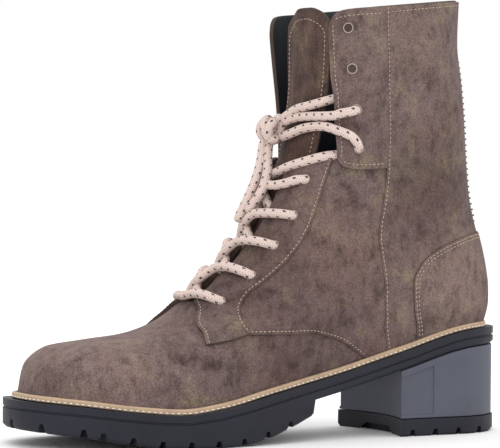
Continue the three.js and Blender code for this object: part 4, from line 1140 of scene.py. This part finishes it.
@dataclass(frozen=True)
class Laces:
    """The lace on the boot: it runs through the eyelets and crosses the tongue.

    bows says how far each crossing bows up the front before it drops, in levels.
    """

    bows: tuple[float, ...] = (0.026, 0.014, 0.009, -0.01)
    top: tuple[Rows, ...] = (
        (
            (0.69, 0.7, -2.2), (0.73, 0.705, -1.4), (0.765, 0.708, 1.0), (0.805, 0.708, 2.8),
            (0.856, 0.705, 3.2), (0.916, 0.7, 3.2), (0.962, 0.692, 3.3), (1.0, 0.685, 3.0),
            (1.04, 0.677, 2.2), (1.08, 0.67, 0.4),
        ),
        (
            (0.652, 0.7, -1.0), (0.659, 0.704, 2.4), (0.669, 0.712, 5.2), (0.683, 0.724, 6.4),
            (0.703, 0.738, 6.4), (0.735, 0.751, 6.0), (0.763, 0.76, 5.5), (0.8, 0.77, 3.7),
            (0.843, 0.776, 1.9), (0.905, 0.777, 1.5), (0.95, 0.772, 1.8), (0.99, 0.765, 2.6),
            (1.02, 0.76, 3.6),
        ),
        (
            (0.694, 0.793, -1.0), (0.7, 0.792, 2.4), (0.71, 0.792, 5.0), (0.726, 0.791, 6.2),
            (0.75, 0.791, 5.9), (0.777, 0.79, 5.5), (0.83, 0.794, 3.0), (0.893, 0.799, 1.6),
            (0.945, 0.8, 1.6), (0.985, 0.796, 2.6), (1.01, 0.788, 4.4),
        ),
        (
            (0.76, 0.83, -3.0), (0.79, 0.829, -2.2), (0.82, 0.827, -0.6), (0.85, 0.824, 1.2),
            (0.9, 0.82, 2.0), (0.955, 0.816, 2.4), (0.99, 0.806, 3.4), (1.015, 0.793, 4.8),
        ),
    )

    @staticmethod
    def inner(rows: Rows, high: float) -> Rows:
        """A strand's mirror on the inner side, no further out than high, so that it runs below."""
        return [(2 - turn, up, min(out, high)) for turn, up, out in rows]

    @staticmethod
    def through(eyelet: "Eyelet", dip: float, rise: float) -> Rows:
        """A strand's way out through an eyelet, from dip levels below it to rise above."""
        turn, up = eyelet.turn, eyelet.up
        return [
            (turn - 0.05, up - dip, -3.4), (turn - 0.012, up, -1.6), (turn, up, 1.6),
            (turn + 0.026, up + rise, 4.6),
        ]

    def crossings(self) -> list[Rows]:
        """The base bar and the crossings between the eyestays."""
        rows = [e for e in EYELETS if not e.on_flap]
        bar = self.through(rows[0], 0.01, 0.004)
        bar += [(0.89, 0.381, 5.2), (0.945, 0.388, 5.3), (1.0, 0.386, 4.5)]
        made = [bar + self.inner(bar[-2::-1], 3.2)]
        for low, high, lift in zip(rows, rows[1:], self.bows):
            top, cross = high.up, (low.up + high.up) / 2
            drop = top - cross
            start = self.through(high, 0.012, 0.2 * lift)
            over = [
                (0.885, top + 0.7 * lift, 5.5), (0.935, top + lift, 6.0), (0.98, top + 0.8 * lift, 6.0),
                (1.012, top - 0.2 * drop, 5.4), (1.034, top - 0.6 * drop, 3.8), (1.048, cross, 1.2),
                (1.06, cross - 0.01, -2.2), (1.1, cross - 0.02, -4.2),
            ]
            under = [
                (0.9, top + 0.2 * lift, 3.6), (0.955, top - 0.35 * drop, 2.6), (1.0, top - 0.75 * drop, 1.6),
                (1.03, cross - 0.1 * drop, 0.4), (1.055, cross - 0.2 * drop, -2.4),
                (1.1, cross - 0.4 * drop, -4.2),
            ]
            made += [start + over, self.inner(start + under, 3.8)]
        return made

    def build(self, finish: Finishes) -> None:
        """Runs every strand."""
        strands = ("lace_tongue_bar", "lace_strand_lower", "lace_strand_upper", "lace_strand_inner")
        crossings = ("lace_base_bar", *(f"lace_crossing_{k}" for k in range(1, 5)))
        for name, lines, nodes in (
            ("lace_crossings", self.crossings(), crossings),
            ("lace_top", self.top, strands),
        ):
            parts = [tube(even_line(knots_of(rows)), LACE_RADIUS) for rows in lines]
            placed(make_object(join(parts), name, [finish.lace]), "lace", *nodes)


# The upper


@dataclass(frozen=True)
class Upper:
    """The upper's wall: open at the collar, the front, the zip slit and underneath."""

    wall: float = 2.2 * MM
    slit_half: float = 3.6 * MM
    throat_half: float = 4.5 * MM
    facing_half: float = 8.5 * MM
    zip_foot_up: float = 0.075
    throat_up: float = 0.387
    facing_top_up: float = 0.7
    shaft_lap: float = 0.05
    around: int = 44
    facing: int = 18
    vamp: int = 8
    rows: tuple[tuple[float, int], ...] = ((0.0, 8), (0.075, 30), (0.387, 24), (0.7, 22), (1.0, 0))

    def facing_turn(self, up: np.ndarray) -> np.ndarray:
        """Turns of the opening's edge."""
        share = np.clip((up - self.throat_up) / (self.facing_top_up - self.throat_up), 0, 1)
        return LAST.near_front(up, self.throat_half + (self.facing_half - self.throat_half) * share)

    def levels(self) -> np.ndarray:
        """The grid's levels."""
        parts = [
            np.linspace(low, high, steps, endpoint=False)
            for (low, steps), (high, _) in zip(self.rows, self.rows[1:])
        ]
        return np.concatenate([*parts, [1.0]])

    def turns(self, up: np.ndarray) -> np.ndarray:
        """The grid's turns on the outer half, shape (levels, columns)."""
        slit = LAST.near_back(up, self.slit_half)
        shaft = SHAFT_EDGE.read("turn", np.maximum(up, SHAFT_EDGE.key[0])) + self.shaft_lap
        facing = self.facing_turn(up)
        columns = [np.zeros_like(up), slit]
        front = np.ones_like(up)
        spans = ((slit, shaft, self.around), (shaft, facing, self.facing), (facing, front, self.vamp))
        for start, end, steps in spans:
            columns += [start + (end - start) * s / steps for s in range(1, steps + 1)]
        drawn = np.clip(up / self.throat_up, 0, 1)
        drawn = drawn * drawn * (3 - 2 * drawn)
        last = len(columns) - 1
        even = [slit + (1 - slit) * (k - 1) / (last - 1) for k in range(last + 1)]
        blend = [even[k] + (columns[k] - even[k]) * drawn for k in range(2, last + 1)]
        return np.stack([*columns[:2], *blend], axis=1)

    def build(self, finish: Finishes) -> None:
        """Makes the upper."""
        levels = self.levels()
        half = self.turns(levels)
        whole = np.hstack([half, 2 - half[:, -2::-1]])
        columns, rows = whole.shape[1] - 1, len(levels) - 1
        middle = columns // 2

        def place(s: np.ndarray, t: np.ndarray) -> np.ndarray:
            """Points of the wall's outer face."""
            i, j = np.rint(s * columns).astype(int), np.rint(t * rows).astype(int)
            return leather(whole[j, i], levels[j], 0.0)

        def keep(s: np.ndarray, t: np.ndarray) -> np.ndarray:
            """Leaves out the slit, the throat and the front of the shaft."""
            i, j = np.floor(s * columns).astype(int), np.floor(t * rows).astype(int)
            column = np.minimum(i, columns - 1 - i)
            up = (levels[j] + levels[j + 1]) / 2
            slit = (column == 0) & (up > self.zip_foot_up)
            throat = (column >= middle - self.vamp) & (up > self.throat_up)
            shaft = (column >= middle - self.vamp - self.facing) & (up > self.facing_top_up)
            return ~(slit | throat | shaft)

        bm = weld(patch(columns, rows, place, keep, (0.5, LAST.height)))
        made = make_object(bm, "upper_leather", [finish.suede, finish.lining, finish.edge])
        walled(made, self.wall, 1, 2)
        bevelled(made, 0.35 * MM)
        placed(made, "suede", "upper")


UPPER = Upper()


@dataclass(frozen=True)
class Panel:
    """A panel sewn on the upper, between four edges of turns and levels."""

    rear: np.ndarray
    front: np.ndarray
    lower: np.ndarray
    upper: np.ndarray
    thickness: float
    columns: int = 40
    rows: int = 48
    fade: float = 0.0
    base: float = 0.3 * MM

    def line_point(self, s: np.ndarray, t: np.ndarray) -> np.ndarray:
        """Turns and levels at shares across and up, ruled between the four edges."""
        rear, front = read_line(self.rear, t), read_line(self.front, t)
        lower, upper = read_line(self.lower, s), read_line(self.upper, s)
        s, t = s[:, None], t[:, None]
        sides = (1 - s) * rear + s * front
        ends = (1 - t) * lower + t * upper
        corners = (1 - s) * (1 - t) * self.rear[0] + s * (1 - t) * self.front[0]
        corners = corners + (1 - s) * t * self.rear[-1] + s * t * self.front[-1]
        return sides + ends - corners

    def build(self, name: str, side: Side, finish: Finishes, slot: str, *nodes: str) -> Piece:
        """Makes the panel for one side."""

        def place(s: np.ndarray, t: np.ndarray) -> np.ndarray:
            """Points of the panel's outer face."""
            spot = self.line_point(s, t)
            out = (self.base + self.thickness) * (0.45 + 0.55 * np.clip(spot[:, 1] / 0.07, 0, 1))
            if self.fade:
                out -= (self.thickness + 0.2 * MM) * np.clip((t - 1 + self.fade) / self.fade, 0, 1) ** 2
            return leather(side.turn(spot[:, 0]), spot[:, 1], out)

        bm = weld(patch(self.columns, self.rows, place, size=(0.1, 0.1), flip=side is Side.LATERAL))
        made = make_object(bm, name, [finish.suede, finish.edge])
        walled(made, self.thickness + 0.25 * MM, 0, 1)
        bevelled(made, 0.3 * MM)
        return placed(made, slot, *nodes)


SHAFT_SEAM = (
    (0.35, 0.005), (0.36, 0.054), (0.386, 0.158), (0.41, 0.254), (0.444, 0.352), (0.468, 0.412),
    (0.49, 0.498), (0.51, 0.566), (0.53, 0.637),
)
FLAP_SEAM = (
    (0.53, 0.637), (0.549, 0.704), (0.568, 0.764), (0.585, 0.824), (0.596, 0.875), (0.608, 0.943),
    (0.616, 1.0),
)
QUARTER_REAR = smooth_line([(turn - 0.008, up) for turn, up in SHAFT_SEAM], 120)
QUARTER_LOWER = smooth_line(
    (
        (0.342, 0.005), (0.379, 0.006), (0.405, 0.036), (0.433, 0.074), (0.468, 0.102), (0.5, 0.123),
        (0.556, 0.143), (0.599, 0.162), (0.64, 0.18),
    ),
    120,
)
QUARTER_FRONT = smooth_line(
    (
        (0.64, 0.18), (0.66, 0.213), (0.7, 0.269), (0.745, 0.33), (0.757, 0.37), (0.74, 0.43),
        (0.735, 0.52), (0.75, 0.6), (0.775, 0.69),
    ),
    120,
)
QUARTER_UPPER = smooth_line(((0.522, 0.637), (0.6, 0.66), (0.68, 0.685), (0.775, 0.69)), 60)
EYESTAY_REAR = smooth_line(
    (
        (0.62, 0.176), (0.647, 0.213), (0.689, 0.269), (0.734, 0.329), (0.746, 0.364), (0.738, 0.39),
        (0.728, 0.413), (0.719, 0.457), (0.718, 0.529), (0.733, 0.591), (0.741, 0.639), (0.745, 0.7),
    ),
    160,
)
EYESTAY_LOWER = smooth_line(((0.62, 0.176), (0.64, 0.165), (0.683, 0.161)), 40)


def eyestay_front() -> np.ndarray:
    """The eyestay's front edge: up from its corner and then along the opening."""
    ups = np.linspace(0.392, 0.69, 30)
    facing = UPPER.facing_turn(ups)
    low = ((0.683, 0.161), (0.737, 0.231), (0.808, 0.294), (0.879, 0.353), (float(facing[0]), 0.392))
    return corner_line(low, list(zip(facing, ups)))


def eyestay_upper() -> np.ndarray:
    """The eyestay's top edge."""
    end = float(UPPER.facing_turn(np.array([0.69]))[0])
    return smooth_line(((0.745, 0.7), (0.792, 0.708), (0.876, 0.703), (end, 0.69)), 60)


FLAP_TABLE = Table(
    "up rear front",
    (0.62, 0.515, 0.712),
    (0.704, 0.54, 0.733),
    (0.764, 0.558, 0.765),
    (0.824, 0.577, 0.795),
    (0.875, 0.586, 0.823),
    (0.943, 0.598, 0.837),
    (1.0, 0.605, 0.848),
)


@dataclass(frozen=True)
class Flap:
    """A front flap: sewn on at the rear and free in front."""

    side: Side
    thickness: float = 2.2 * MM
    lift: float = 0.9 * MM
    corner_up: float = 0.675
    spread: float = 6.0 * MM
    corner: float = 0.16
    tuck: float = 1.9 * MM

    def ends(self, across: np.ndarray | float) -> tuple[np.ndarray | float, np.ndarray | float]:
        """Levels of the lower and the upper edge, which round off towards the front."""
        return 0.62 + (self.corner_up - 0.62) * across + 0.012 * across**6, 1 - 0.02 * across**8

    def spot(self, across: np.ndarray, share: np.ndarray) -> tuple[np.ndarray, ...]:
        """Turns, levels and distances out of the inner face."""
        low, high = self.ends(across)
        up = low + (high - low) * share
        rear, front = FLAP_TABLE.read("rear", up), FLAP_TABLE.read("front", up)
        lean = 0.0 if self.side is Side.LATERAL else self.spread * across**2 * share
        tuck = self.tuck * (1 - np.clip(across / 0.2, 0, 1)) ** 2
        return rear + (front - rear) * across, up, self.lift + lean - tuck

    def point(self, across: float, share: float, out: float) -> Vector:
        """A point at a distance out from the inner face."""
        turn, up, lift = self.spot(np.array([across]), np.array([share]))
        return Vector(leather(self.side.turn(turn), up, lift + out)[0])

    def eyelet_at(self, eyelet: Eyelet) -> tuple[Vector, Vector]:
        """Where an eyelet sits on the flap's face, and which way is out."""
        rear = float(FLAP_TABLE.read("rear", eyelet.up)[0])
        front = float(FLAP_TABLE.read("front", eyelet.up)[0])
        across = (eyelet.turn - rear) / (front - rear)
        low, high = self.ends(across)
        share = (eyelet.up - low) / (high - low)
        seat = self.point(across, share, self.thickness)
        ahead = self.point(across + 0.01, share, self.thickness) - seat
        above = self.point(across, share + 0.01, self.thickness) - seat
        return seat, (ahead.cross(above) * self.side.value).normalized()

    def build(self, finish: Finishes) -> None:
        """Makes the flap."""

        def place(s: np.ndarray, t: np.ndarray) -> np.ndarray:
            """Points of the outer face, with the free corners rounded."""
            square = np.maximum(s - 1 + self.corner, 0) / self.corner
            for end in (0, 1):
                near = np.maximum(self.corner / 2 - np.abs(t - end), 0) / (self.corner / 2)
                pull = square * near
                s = s - 0.3 * self.corner * pull**1.5
                t = t + (0.5 - end) * 2 * 0.12 * self.corner * pull**1.5
            turn, up, lift = self.spot(s, t)
            return leather(self.side.turn(turn), up, lift + self.thickness)

        bm = weld(patch(36, 60, place, size=(0.05, 0.08), flip=self.side is Side.LATERAL))
        name = f"front_flap_{self.side.label}"
        made = make_object(bm, name, [finish.suede, finish.lining, finish.edge])
        walled(made, self.thickness, 1, 2)
        bevelled(made, 0.45 * MM, 3)
        placed(made, "suede", f"flap_{self.side.label}")


@dataclass(frozen=True)
class Tongue:
    """The padded tongue behind the laces."""

    thickness: float = 2.2 * MM
    table: Table = Table(
        "up half depth",
        (0.3, 0.26, 1.64),
        (0.5, 0.38, 1.41),
        (0.66, 0.46, 1.41),
        (0.76, 0.47, 0.91),
        (0.9, 0.47, 0.45),
        (1.0, 0.45, 0.36),
        (1.03, 0.43, 0.36),
    )

    lean: float = 0.03
    foot: float = 0.3
    top: float = 1.01

    def place(self, s: np.ndarray, t: np.ndarray) -> np.ndarray:
        """Points of the outer face, rounded at the top corners and leaning to the outer side."""
        across = 2 * s - 1
        up = self.foot + (self.top - self.foot) * t
        up = up - 0.035 * np.abs(across) ** 3 * np.clip((t - 0.88) / 0.12, 0, 1)
        half = self.table.read("half", up) * LAST.ball_half
        depth = self.table.read("depth", up) * self.thickness
        near = LAST.near_front(up, np.abs(across) * half)
        turn = np.where(across < 0, near, 2 - near) - self.lean * np.clip((up - 0.7) / 0.3, 0, 1)
        folds = 0.5 * np.sin(9 * across + 5 * up) * np.clip((up - 0.72) / 0.2, 0, 1)
        return leather(turn, up, -depth + (0.5 * (1 - across**2) + folds) * MM)

    def build(self, finish: Finishes) -> None:
        """Makes the tongue."""
        bm = weld(patch(30, 90, self.place, size=(0.05, 0.12)))
        made = make_object(bm, "tongue_leather", [finish.tongue, finish.lining, finish.edge])
        walled(made, self.thickness, 1, 2)
        bevelled(made, 0.45 * MM, 3)
        placed(made, "suede", "tongue")


@dataclass(frozen=True)
class Counter:
    """The counter round the heel, one half for each side of the zip."""

    thickness: float = 0.9 * MM
    base: float = 1.5 * MM
    zip_edge: float = 3.7 * MM
    foot_up: float = 0.08
    top_up: float = 0.285

    def panel(self) -> Panel:
        """The counter's half on the outer side."""
        ups = np.linspace(self.foot_up, self.top_up, 20)
        slit = LAST.near_back(ups, self.zip_edge)
        foot = (0.0, 0.075)
        rear = corner_line([(0.0, 0.004), foot], [foot, (float(slit[0]), self.foot_up)], list(zip(slit, ups)))
        top = (
            (float(slit[-1]), self.top_up), (0.1, 0.29), (0.18, 0.296), (0.256, 0.297), (0.29, 0.291),
            (0.315, 0.279), (0.331, 0.26),
        )
        front = ((0.298, 0.004), (0.308, 0.06), (0.322, 0.112), (0.334, 0.168), (0.34, 0.22), (0.331, 0.26))
        low = ((0.0, 0.004), (0.15, 0.004), (0.298, 0.004))
        edges = (rear, smooth_line(front, 120), smooth_line(low, 60), smooth_line(top, 120))
        return Panel(*edges, self.thickness, base=self.base)

    def build(self, finish: Finishes) -> None:
        """Makes both halves, the outer one standing for the CAD counter."""
        panel = self.panel()
        panel.build("counter_lateral", Side.LATERAL, finish, "suede", "counter")
        panel.build("counter_medial", Side.MEDIAL, finish, "suede")


@dataclass(frozen=True)
class RearPanel:
    """The shaft's rear panel, which laps over the quarter and the flap."""

    thickness: float = 1.3 * MM
    zip_edge: float = 3.7 * MM

    def panel(self) -> Panel:
        """The panel on the outer side."""
        ups = np.linspace(0.004, 0.996, 60)
        rear = np.stack([LAST.near_back(ups, self.zip_edge), ups], axis=1)
        front = corner_line(SHAFT_SEAM, FLAP_SEAM)
        lower = smooth_line((tuple(rear[0]), (0.2, 0.004), (0.35, 0.005)), 60)
        upper = smooth_line((tuple(rear[-1]), (0.35, 0.997), (0.616, 1.0)), 60)
        return Panel(rear, front, lower, upper, self.thickness, 44, 110)

    def build(self, finish: Finishes) -> None:
        """Makes the panel on both sides."""
        for side in Side:
            self.panel().build(f"rear_panel_{side.label}", side, finish, "suede")


# Stitching and eyelets


@dataclass(frozen=True)
class Stitching:
    """Rows of thread stitches laid on the leather along its seams."""

    pitch: float = 2.3 * MM
    length: float = 1.6 * MM
    width: float = 0.5 * MM
    lift: float = 0.08 * MM
    zip_edge: float = 7.6 * MM

    def row(self, line: np.ndarray, side: Side, out: float, aside: float) -> Mesh:
        """Makes a row of stitches beside a seam.

        Args:
            line: The seam's turns and levels on the outer side.
            side: Which side of the boot.
            out: How far out the leather under them is, in millimetres.
            aside: How far the row lies to the left of the seam, seen from the outer side, too.

        Returns:
            The stitches.
        """
        turn, up = shifted(line[:, 0], line[:, 1], aside * MM)
        return self.along(leather(side.turn(turn), up, out * MM), LAST.frame(side.turn(turn), up)[3])

    def along(self, points: np.ndarray, normals: np.ndarray) -> Mesh:
        """Makes stitches along points, standing on their normals."""
        bm = bmesh.new()
        reach = reach_along(points)
        half = np.array((self.length, self.width, self.width)) / 2
        for k in range(int(reach[-1] / self.pitch)):
            middle = (k + 0.5) * self.pitch
            ends = read_rows((middle - half[0], middle + half[0]), reach, points)
            one, other = Vector(ends[0]), Vector(ends[1])
            normal = Vector(read_rows([middle], reach, normals)[0]).normalized()
            forward = (other - one).normalized()
            across = normal.cross(forward).normalized()
            place = standing((one + other) / 2 + normal * self.lift, forward, across, normal)
            matrix = place @ Matrix.Diagonal((*half, 1))
            bmesh.ops.create_uvsphere(bm, u_segments=6, v_segments=4, radius=1.0, matrix=matrix)
        return bm

    def build(self, finish: Finishes) -> None:
        """Sews every seam."""
        counter = Counter().panel()
        ups = np.linspace(0.3, 0.97, 160)
        slit = np.stack([LAST.near_back(ups, self.zip_edge), ups], axis=1)
        collar = np.stack([np.linspace(float(slit[-1, 0]), 0.612, 100), np.full(100, 0.986)], axis=1)
        # Each seam, how far out its leather is and how far beside it the row lies
        seams = (
            (EYESTAY_REAR[4:], 2.15, 1.2),
            (eyestay_front()[:56], 2.15, -1.6),
            (QUARTER_LOWER[18:], 1.25, -1.5),
            (corner_line(SHAFT_SEAM, FLAP_SEAM), 1.65, -1.3),
            (smooth_line(FLAP_SEAM, 80), 1.75, 1.3),
            (counter.upper, 2.45, 1.3),
            (counter.upper, 2.45, 2.9),
            (counter.front[10:], 2.45, -1.3),
            (counter.front[10:], 2.45, -2.9),
            (slit, 1.65, 0.0),
            (collar, 1.65, 0.0),
        )
        parts = []
        for side in Side:
            parts += [self.row(line, side, out, aside) for line, out, aside in seams]
            parts += self.flap_rows(Flap(side))
        parts.append(self.tongue_row())
        placed(make_object(join(parts), "seam_stitches", [finish.stitch]), "suede")

    def tongue_row(self) -> Mesh:
        """Sews round the tongue's edge."""
        tongue = Tongue()
        side, rise = np.full(80, 0.08), np.linspace(0.45, 0.94, 80)
        over = np.linspace(0.08, 0.92, 40)
        crown = 0.94 + 0.03 * np.sqrt(np.clip(np.sin(np.pi * (over - 0.08) / 0.84), 0.0, 1.0))
        s = np.concatenate([side, over, 1 - side])
        t = np.concatenate([rise, crown, rise[::-1]])
        points = tongue.place(s, t)
        normals = unit(np.cross(tongue.place(s, t + 0.002) - points, tongue.place(s + 0.002, t) - points))
        normals *= -np.sign(normals[:, :1])
        return self.along(points + normals * 0.05 * MM, normals)

    def flap_rows(self, flap: Flap) -> list[Mesh]:
        """Sews round a flap's free edges."""
        over, rise = np.linspace(0.12, 0.88, 60), np.linspace(0.05, 0.955, 80)
        lines = ((over, np.full(60, 0.033)), (np.full(80, 0.915), rise), (over[::-1], np.full(60, 0.962)))
        parts = []
        for across, share in lines:
            turn, up, lift = flap.spot(across, share)
            turned = flap.side.turn(turn)
            points = leather(turned, up, lift + flap.thickness + 0.02 * MM)
            parts.append(self.along(points, LAST.frame(turned, up)[3]))
        return parts


@dataclass(frozen=True)
class Eyelets:
    """Small rings round the lace holes, with a dark disc of painted shade inside each."""

    outer: float = 2.8 * MM
    bore: float = 2.1 * MM
    height: float = 0.6 * MM
    eyestay_out: float = 2.1 * MM

    def ring(self, place: Matrix) -> Mesh:
        """One ring, spun from a small circle, standing on its seat."""
        bm = bmesh.new()
        squash = Matrix.Diagonal(((self.outer - self.bore) / 2, self.height / 2, 1, 1))
        section = Matrix.Translation(((self.outer + self.bore) / 2, 0, self.height * 0.15))
        section = section @ Matrix.Rotation(math.pi / 2, 4, "X") @ squash
        made = bmesh.ops.create_circle(bm, segments=8, radius=1.0, matrix=section)
        geom = made["verts"] + bm.edges[:]
        around = {"axis": (0, 0, 1), "cent": (0, 0, 0), "angle": 2 * math.pi}
        bmesh.ops.spin(bm, geom=geom, steps=24, use_merge=True, **around)
        bmesh.ops.recalc_face_normals(bm, faces=bm.faces)
        bmesh.ops.transform(bm, matrix=place, verts=bm.verts)
        return bm

    def hole(self, place: Matrix) -> Mesh:
        """A dark disc of painted shade filling a hole, in the object's second material."""
        bm = bmesh.new()
        above = place @ Matrix.Translation((0, 0, 0.06 * MM))
        bmesh.ops.create_circle(bm, cap_ends=True, segments=24, radius=self.bore * 1.02, matrix=above)
        for face in bm.faces:
            face.material_index = 1
        return bm

    def build(self, finish: Finishes) -> None:
        """Sets every eyelet."""
        parts = []
        for side in Side:
            flap = Flap(side)
            for eyelet in EYELETS:
                if eyelet.on_flap:
                    seat, out = flap.eyelet_at(eyelet)
                else:
                    turn = side.turn(eyelet.turn)
                    out = LAST.outward(turn, eyelet.up)
                    seat = Vector(leather(np.array([turn]), np.array([eyelet.up]), self.eyestay_out)[0])
                place = Matrix.Translation(seat) @ out.to_track_quat("Z", "Y").to_matrix().to_4x4()
                parts += [self.ring(place), self.hole(place)]
        made = make_object(join(parts), "eyelet_rings", [finish.nickel, finish.edge])
        names = [f"eyelet_{side.label}_{k}" for side in Side for k in range(1, 10)]
        placed(made, "metal", *names)


# Zip, welt and sole


@dataclass(frozen=True)
class Zip:
    """The back zip: a woven tape and two rows of teeth."""

    tape_half: float = 7.5 * MM
    tape_depth: float = 2.8 * MM
    foot_up: float = 0.075
    top_up: float = 0.985
    pitch: float = 1.6 * MM
    tooth: Triple = (3.2 * MM, 3.3 * MM, 0.95 * MM)
    teeth_out: float = 2.0 * MM
    stagger: float = 0.75 * MM

    def tape(self, finish: Finishes) -> None:
        """Makes the tape."""

        def place(s: np.ndarray, t: np.ndarray) -> np.ndarray:
            """Points of the tape's outer face."""
            up = self.foot_up + (self.top_up - self.foot_up) * t
            across = 2 * s - 1
            turn = LAST.near_back(up, np.maximum(np.abs(across) * self.tape_half, 1e-6))
            return leather(np.sign(across) * turn, up, -0.9 * MM)

        bm = patch(12, 90, place, size=(0.015, 0.16))
        made = make_object(bm, "zip_tape_cloth", [finish.tape])
        walled(made, 0.9 * MM)
        placed(made, "lining", "zip_tape")

    def teeth(self, finish: Finishes) -> None:
        """Makes two rows of teeth that mesh at the middle."""
        bm = bmesh.new()
        ups, middle = np.linspace(self.foot_up, self.top_up, 400), np.zeros(400)
        line, normals = leather(middle, ups, self.teeth_out), LAST.frame(middle, ups)[3]
        reach = reach_along(line)
        across = Vector((0, 1, 0))
        for k in range(int(reach[-1] / self.pitch)):
            spot = [(k + 0.5) * self.pitch]
            out = Vector(read_rows(spot, reach, normals)[0]).normalized()
            point = Vector(read_rows(spot, reach, line)[0]) + across * self.stagger * (1 if k % 2 else -1)
            place = standing(point, out, across, out.cross(across).normalized())
            bmesh.ops.create_cube(bm, size=1.0, matrix=place @ Matrix.Diagonal((*self.tooth, 1)))
        bmesh.ops.bevel(
            bm, geom=bm.edges[:], offset=0.2 * MM, segments=1, affect="EDGES", profile=0.5, material=-1
        )
        made = make_object(bm, "zip_teeth_rows", [finish.brass])
        placed(made, "metal", "zip_teeth")

    def build(self, finish: Finishes) -> None:
        """Makes the tape and the teeth."""
        self.tape(finish)
        self.teeth(finish)


@dataclass(frozen=True)
class Welt:
    """The tan welt on the sole's edge."""

    width: float = 2.0 * MM
    height: float = 2.8 * MM
    gap: float = 0.1 * MM
    feather_up: float = 0.02
    section: tuple[tuple[float, float], ...] = (
        (0.0, 0.0), (1.0, 0.0), (1.0, 0.72), (0.86, 0.94), (0.5, 1.0), (0.0, 1.0), (0.0, 0.0),
    )

    def band(
        self, turn: np.ndarray, out: np.ndarray | float, high: np.ndarray | float
    ) -> tuple[np.ndarray, ...]:
        """Points beside the foot of the upper.

        Args:
            turn: Turns round the boot.
            out: Distances out from the upper's widest line near the sole.
            high: Heights over the sole's edge.

        Returns:
            The points and the ways out of the boot there, each of shape (N, 3).
        """
        base = LAST.edge(turn, 0.0)
        away = LAST.edge(turn, 1.0) - base
        above = LAST.point(turn, np.full_like(turn, self.feather_up))[:, :2]
        bulge = np.maximum(((above - base) * away).sum(1), 0)
        plan = base + away * (bulge + self.gap + out)[:, None]
        height = LAST.sole_top(LAST.length / 2 - base[:, 0]) + high
        return np.column_stack([plan, height]), np.column_stack([away, np.zeros(len(away))])

    def build(self, finish: Finishes) -> None:
        """Makes the welt as a closed band and sews it."""

        def place(s: np.ndarray, t: np.ndarray) -> np.ndarray:
            """Points round the band's section."""
            section = np.array(self.section)[np.rint(t * (len(self.section) - 1)).astype(int)]
            return self.band(2 * s, section[:, 0] * self.width, 0.15 * MM + section[:, 1] * self.height)[0]

        bm = weld(patch(240, len(self.section) - 1, place, size=(0.7, 0.01)))
        bmesh.ops.recalc_face_normals(bm, faces=bm.faces)
        made = make_object(bm, "welt_band", [finish.welt])
        bevelled(made, 0.2 * MM)
        placed(made, "welt", "welt")
        self.sew(finish)

    def sew(self, finish: Finishes) -> None:
        """Lays the cream stitches along the welt's outer face."""
        points, normals = self.band(np.linspace(0.0, 2.0, 900), self.width, 0.85 * MM)
        bm = Stitching(3.0 * MM, 2.3 * MM, 0.75 * MM).along(points, normals)
        placed(make_object(bm, "welt_stitches", [finish.welt_thread]), "welt")


@dataclass(frozen=True)
class SoleUnit:
    """The outsole, heel block and top lift, with their moulded edges rounded."""

    rounding: float = 0.35 * MM
    sharp_from: float = 40.0

    def build(self, finish: Finishes) -> None:
        """Makes bevelled copies of the CAD nodes."""
        rubbers = {"outsole": finish.rubber, "heel_block": finish.heel, "heel_top_lift": finish.rubber}
        for node, material in rubbers.items():
            bm = merged_copy(node)
            flat = math.radians(1.0)
            bmesh.ops.dissolve_limit(
                bm, angle_limit=flat, verts=bm.verts, edges=bm.edges, use_dissolve_boundaries=False
            )
            made = make_object(bm, f"{node}_rubber", [material])
            bevelled(made, self.rounding, 2, 30)
            made.data.set_sharp_from_angle(angle=math.radians(self.sharp_from))
            placed(made, "rubber", node)


@dataclass(frozen=True)
class Insole:
    """The insole inside, covered with the lining."""

    rounding: float = 0.6 * MM

    def build(self, finish: Finishes) -> None:
        """Makes a copy of the CAD insole with soft edges."""
        made = make_object(merged_copy("insole"), "insole_sock", [finish.lining])
        bevelled(made, self.rounding)
        placed(made, "lining", "insole")


def dress(node: str, material: Material) -> None:
    """Gives a CAD node that stays a finish."""
    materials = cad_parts[node].data.materials
    materials.clear()
    materials.append(material)


def main() -> None:
    """Builds the boot, its camera first."""
    studio = Studio()
    studio.camera()
    finish = Finishes.make()
    knot = Knot()
    LooseEnds(knot).build(finish, knot.build(finish))
    Laces().build(finish)
    UPPER.build(finish)
    quarter = Panel(QUARTER_REAR, QUARTER_FRONT, QUARTER_LOWER, QUARTER_UPPER, 0.9 * MM, 60, 60, 0.12)
    eyestay = Panel(EYESTAY_REAR, eyestay_front(), EYESTAY_LOWER, eyestay_upper(), 1.8 * MM, 30, 80)
    for side in Side:
        quarter.build(f"quarter_panel_{side.label}", side, finish, "suede", f"quarter_{side.label}")
        eyestay.build(f"eyestay_panel_{side.label}", side, finish, "suede", f"eyestay_{side.label}")
        Flap(side).build(finish)
    RearPanel().build(finish)
    Counter().build(finish)
    Tongue().build(finish)
    Stitching().build(finish)
    Eyelets().build(finish)
    Zip().build(finish)
    Welt().build(finish)
    SoleUnit().build(finish)
    Insole().build(finish)
    dress("zip_slider", finish.brass)
    dress("zip_pull", finish.brass)
    studio.build()


if __name__ == "__main__":
    logging.basicConfig(level=logging.INFO, format="%(message)s")
    main()
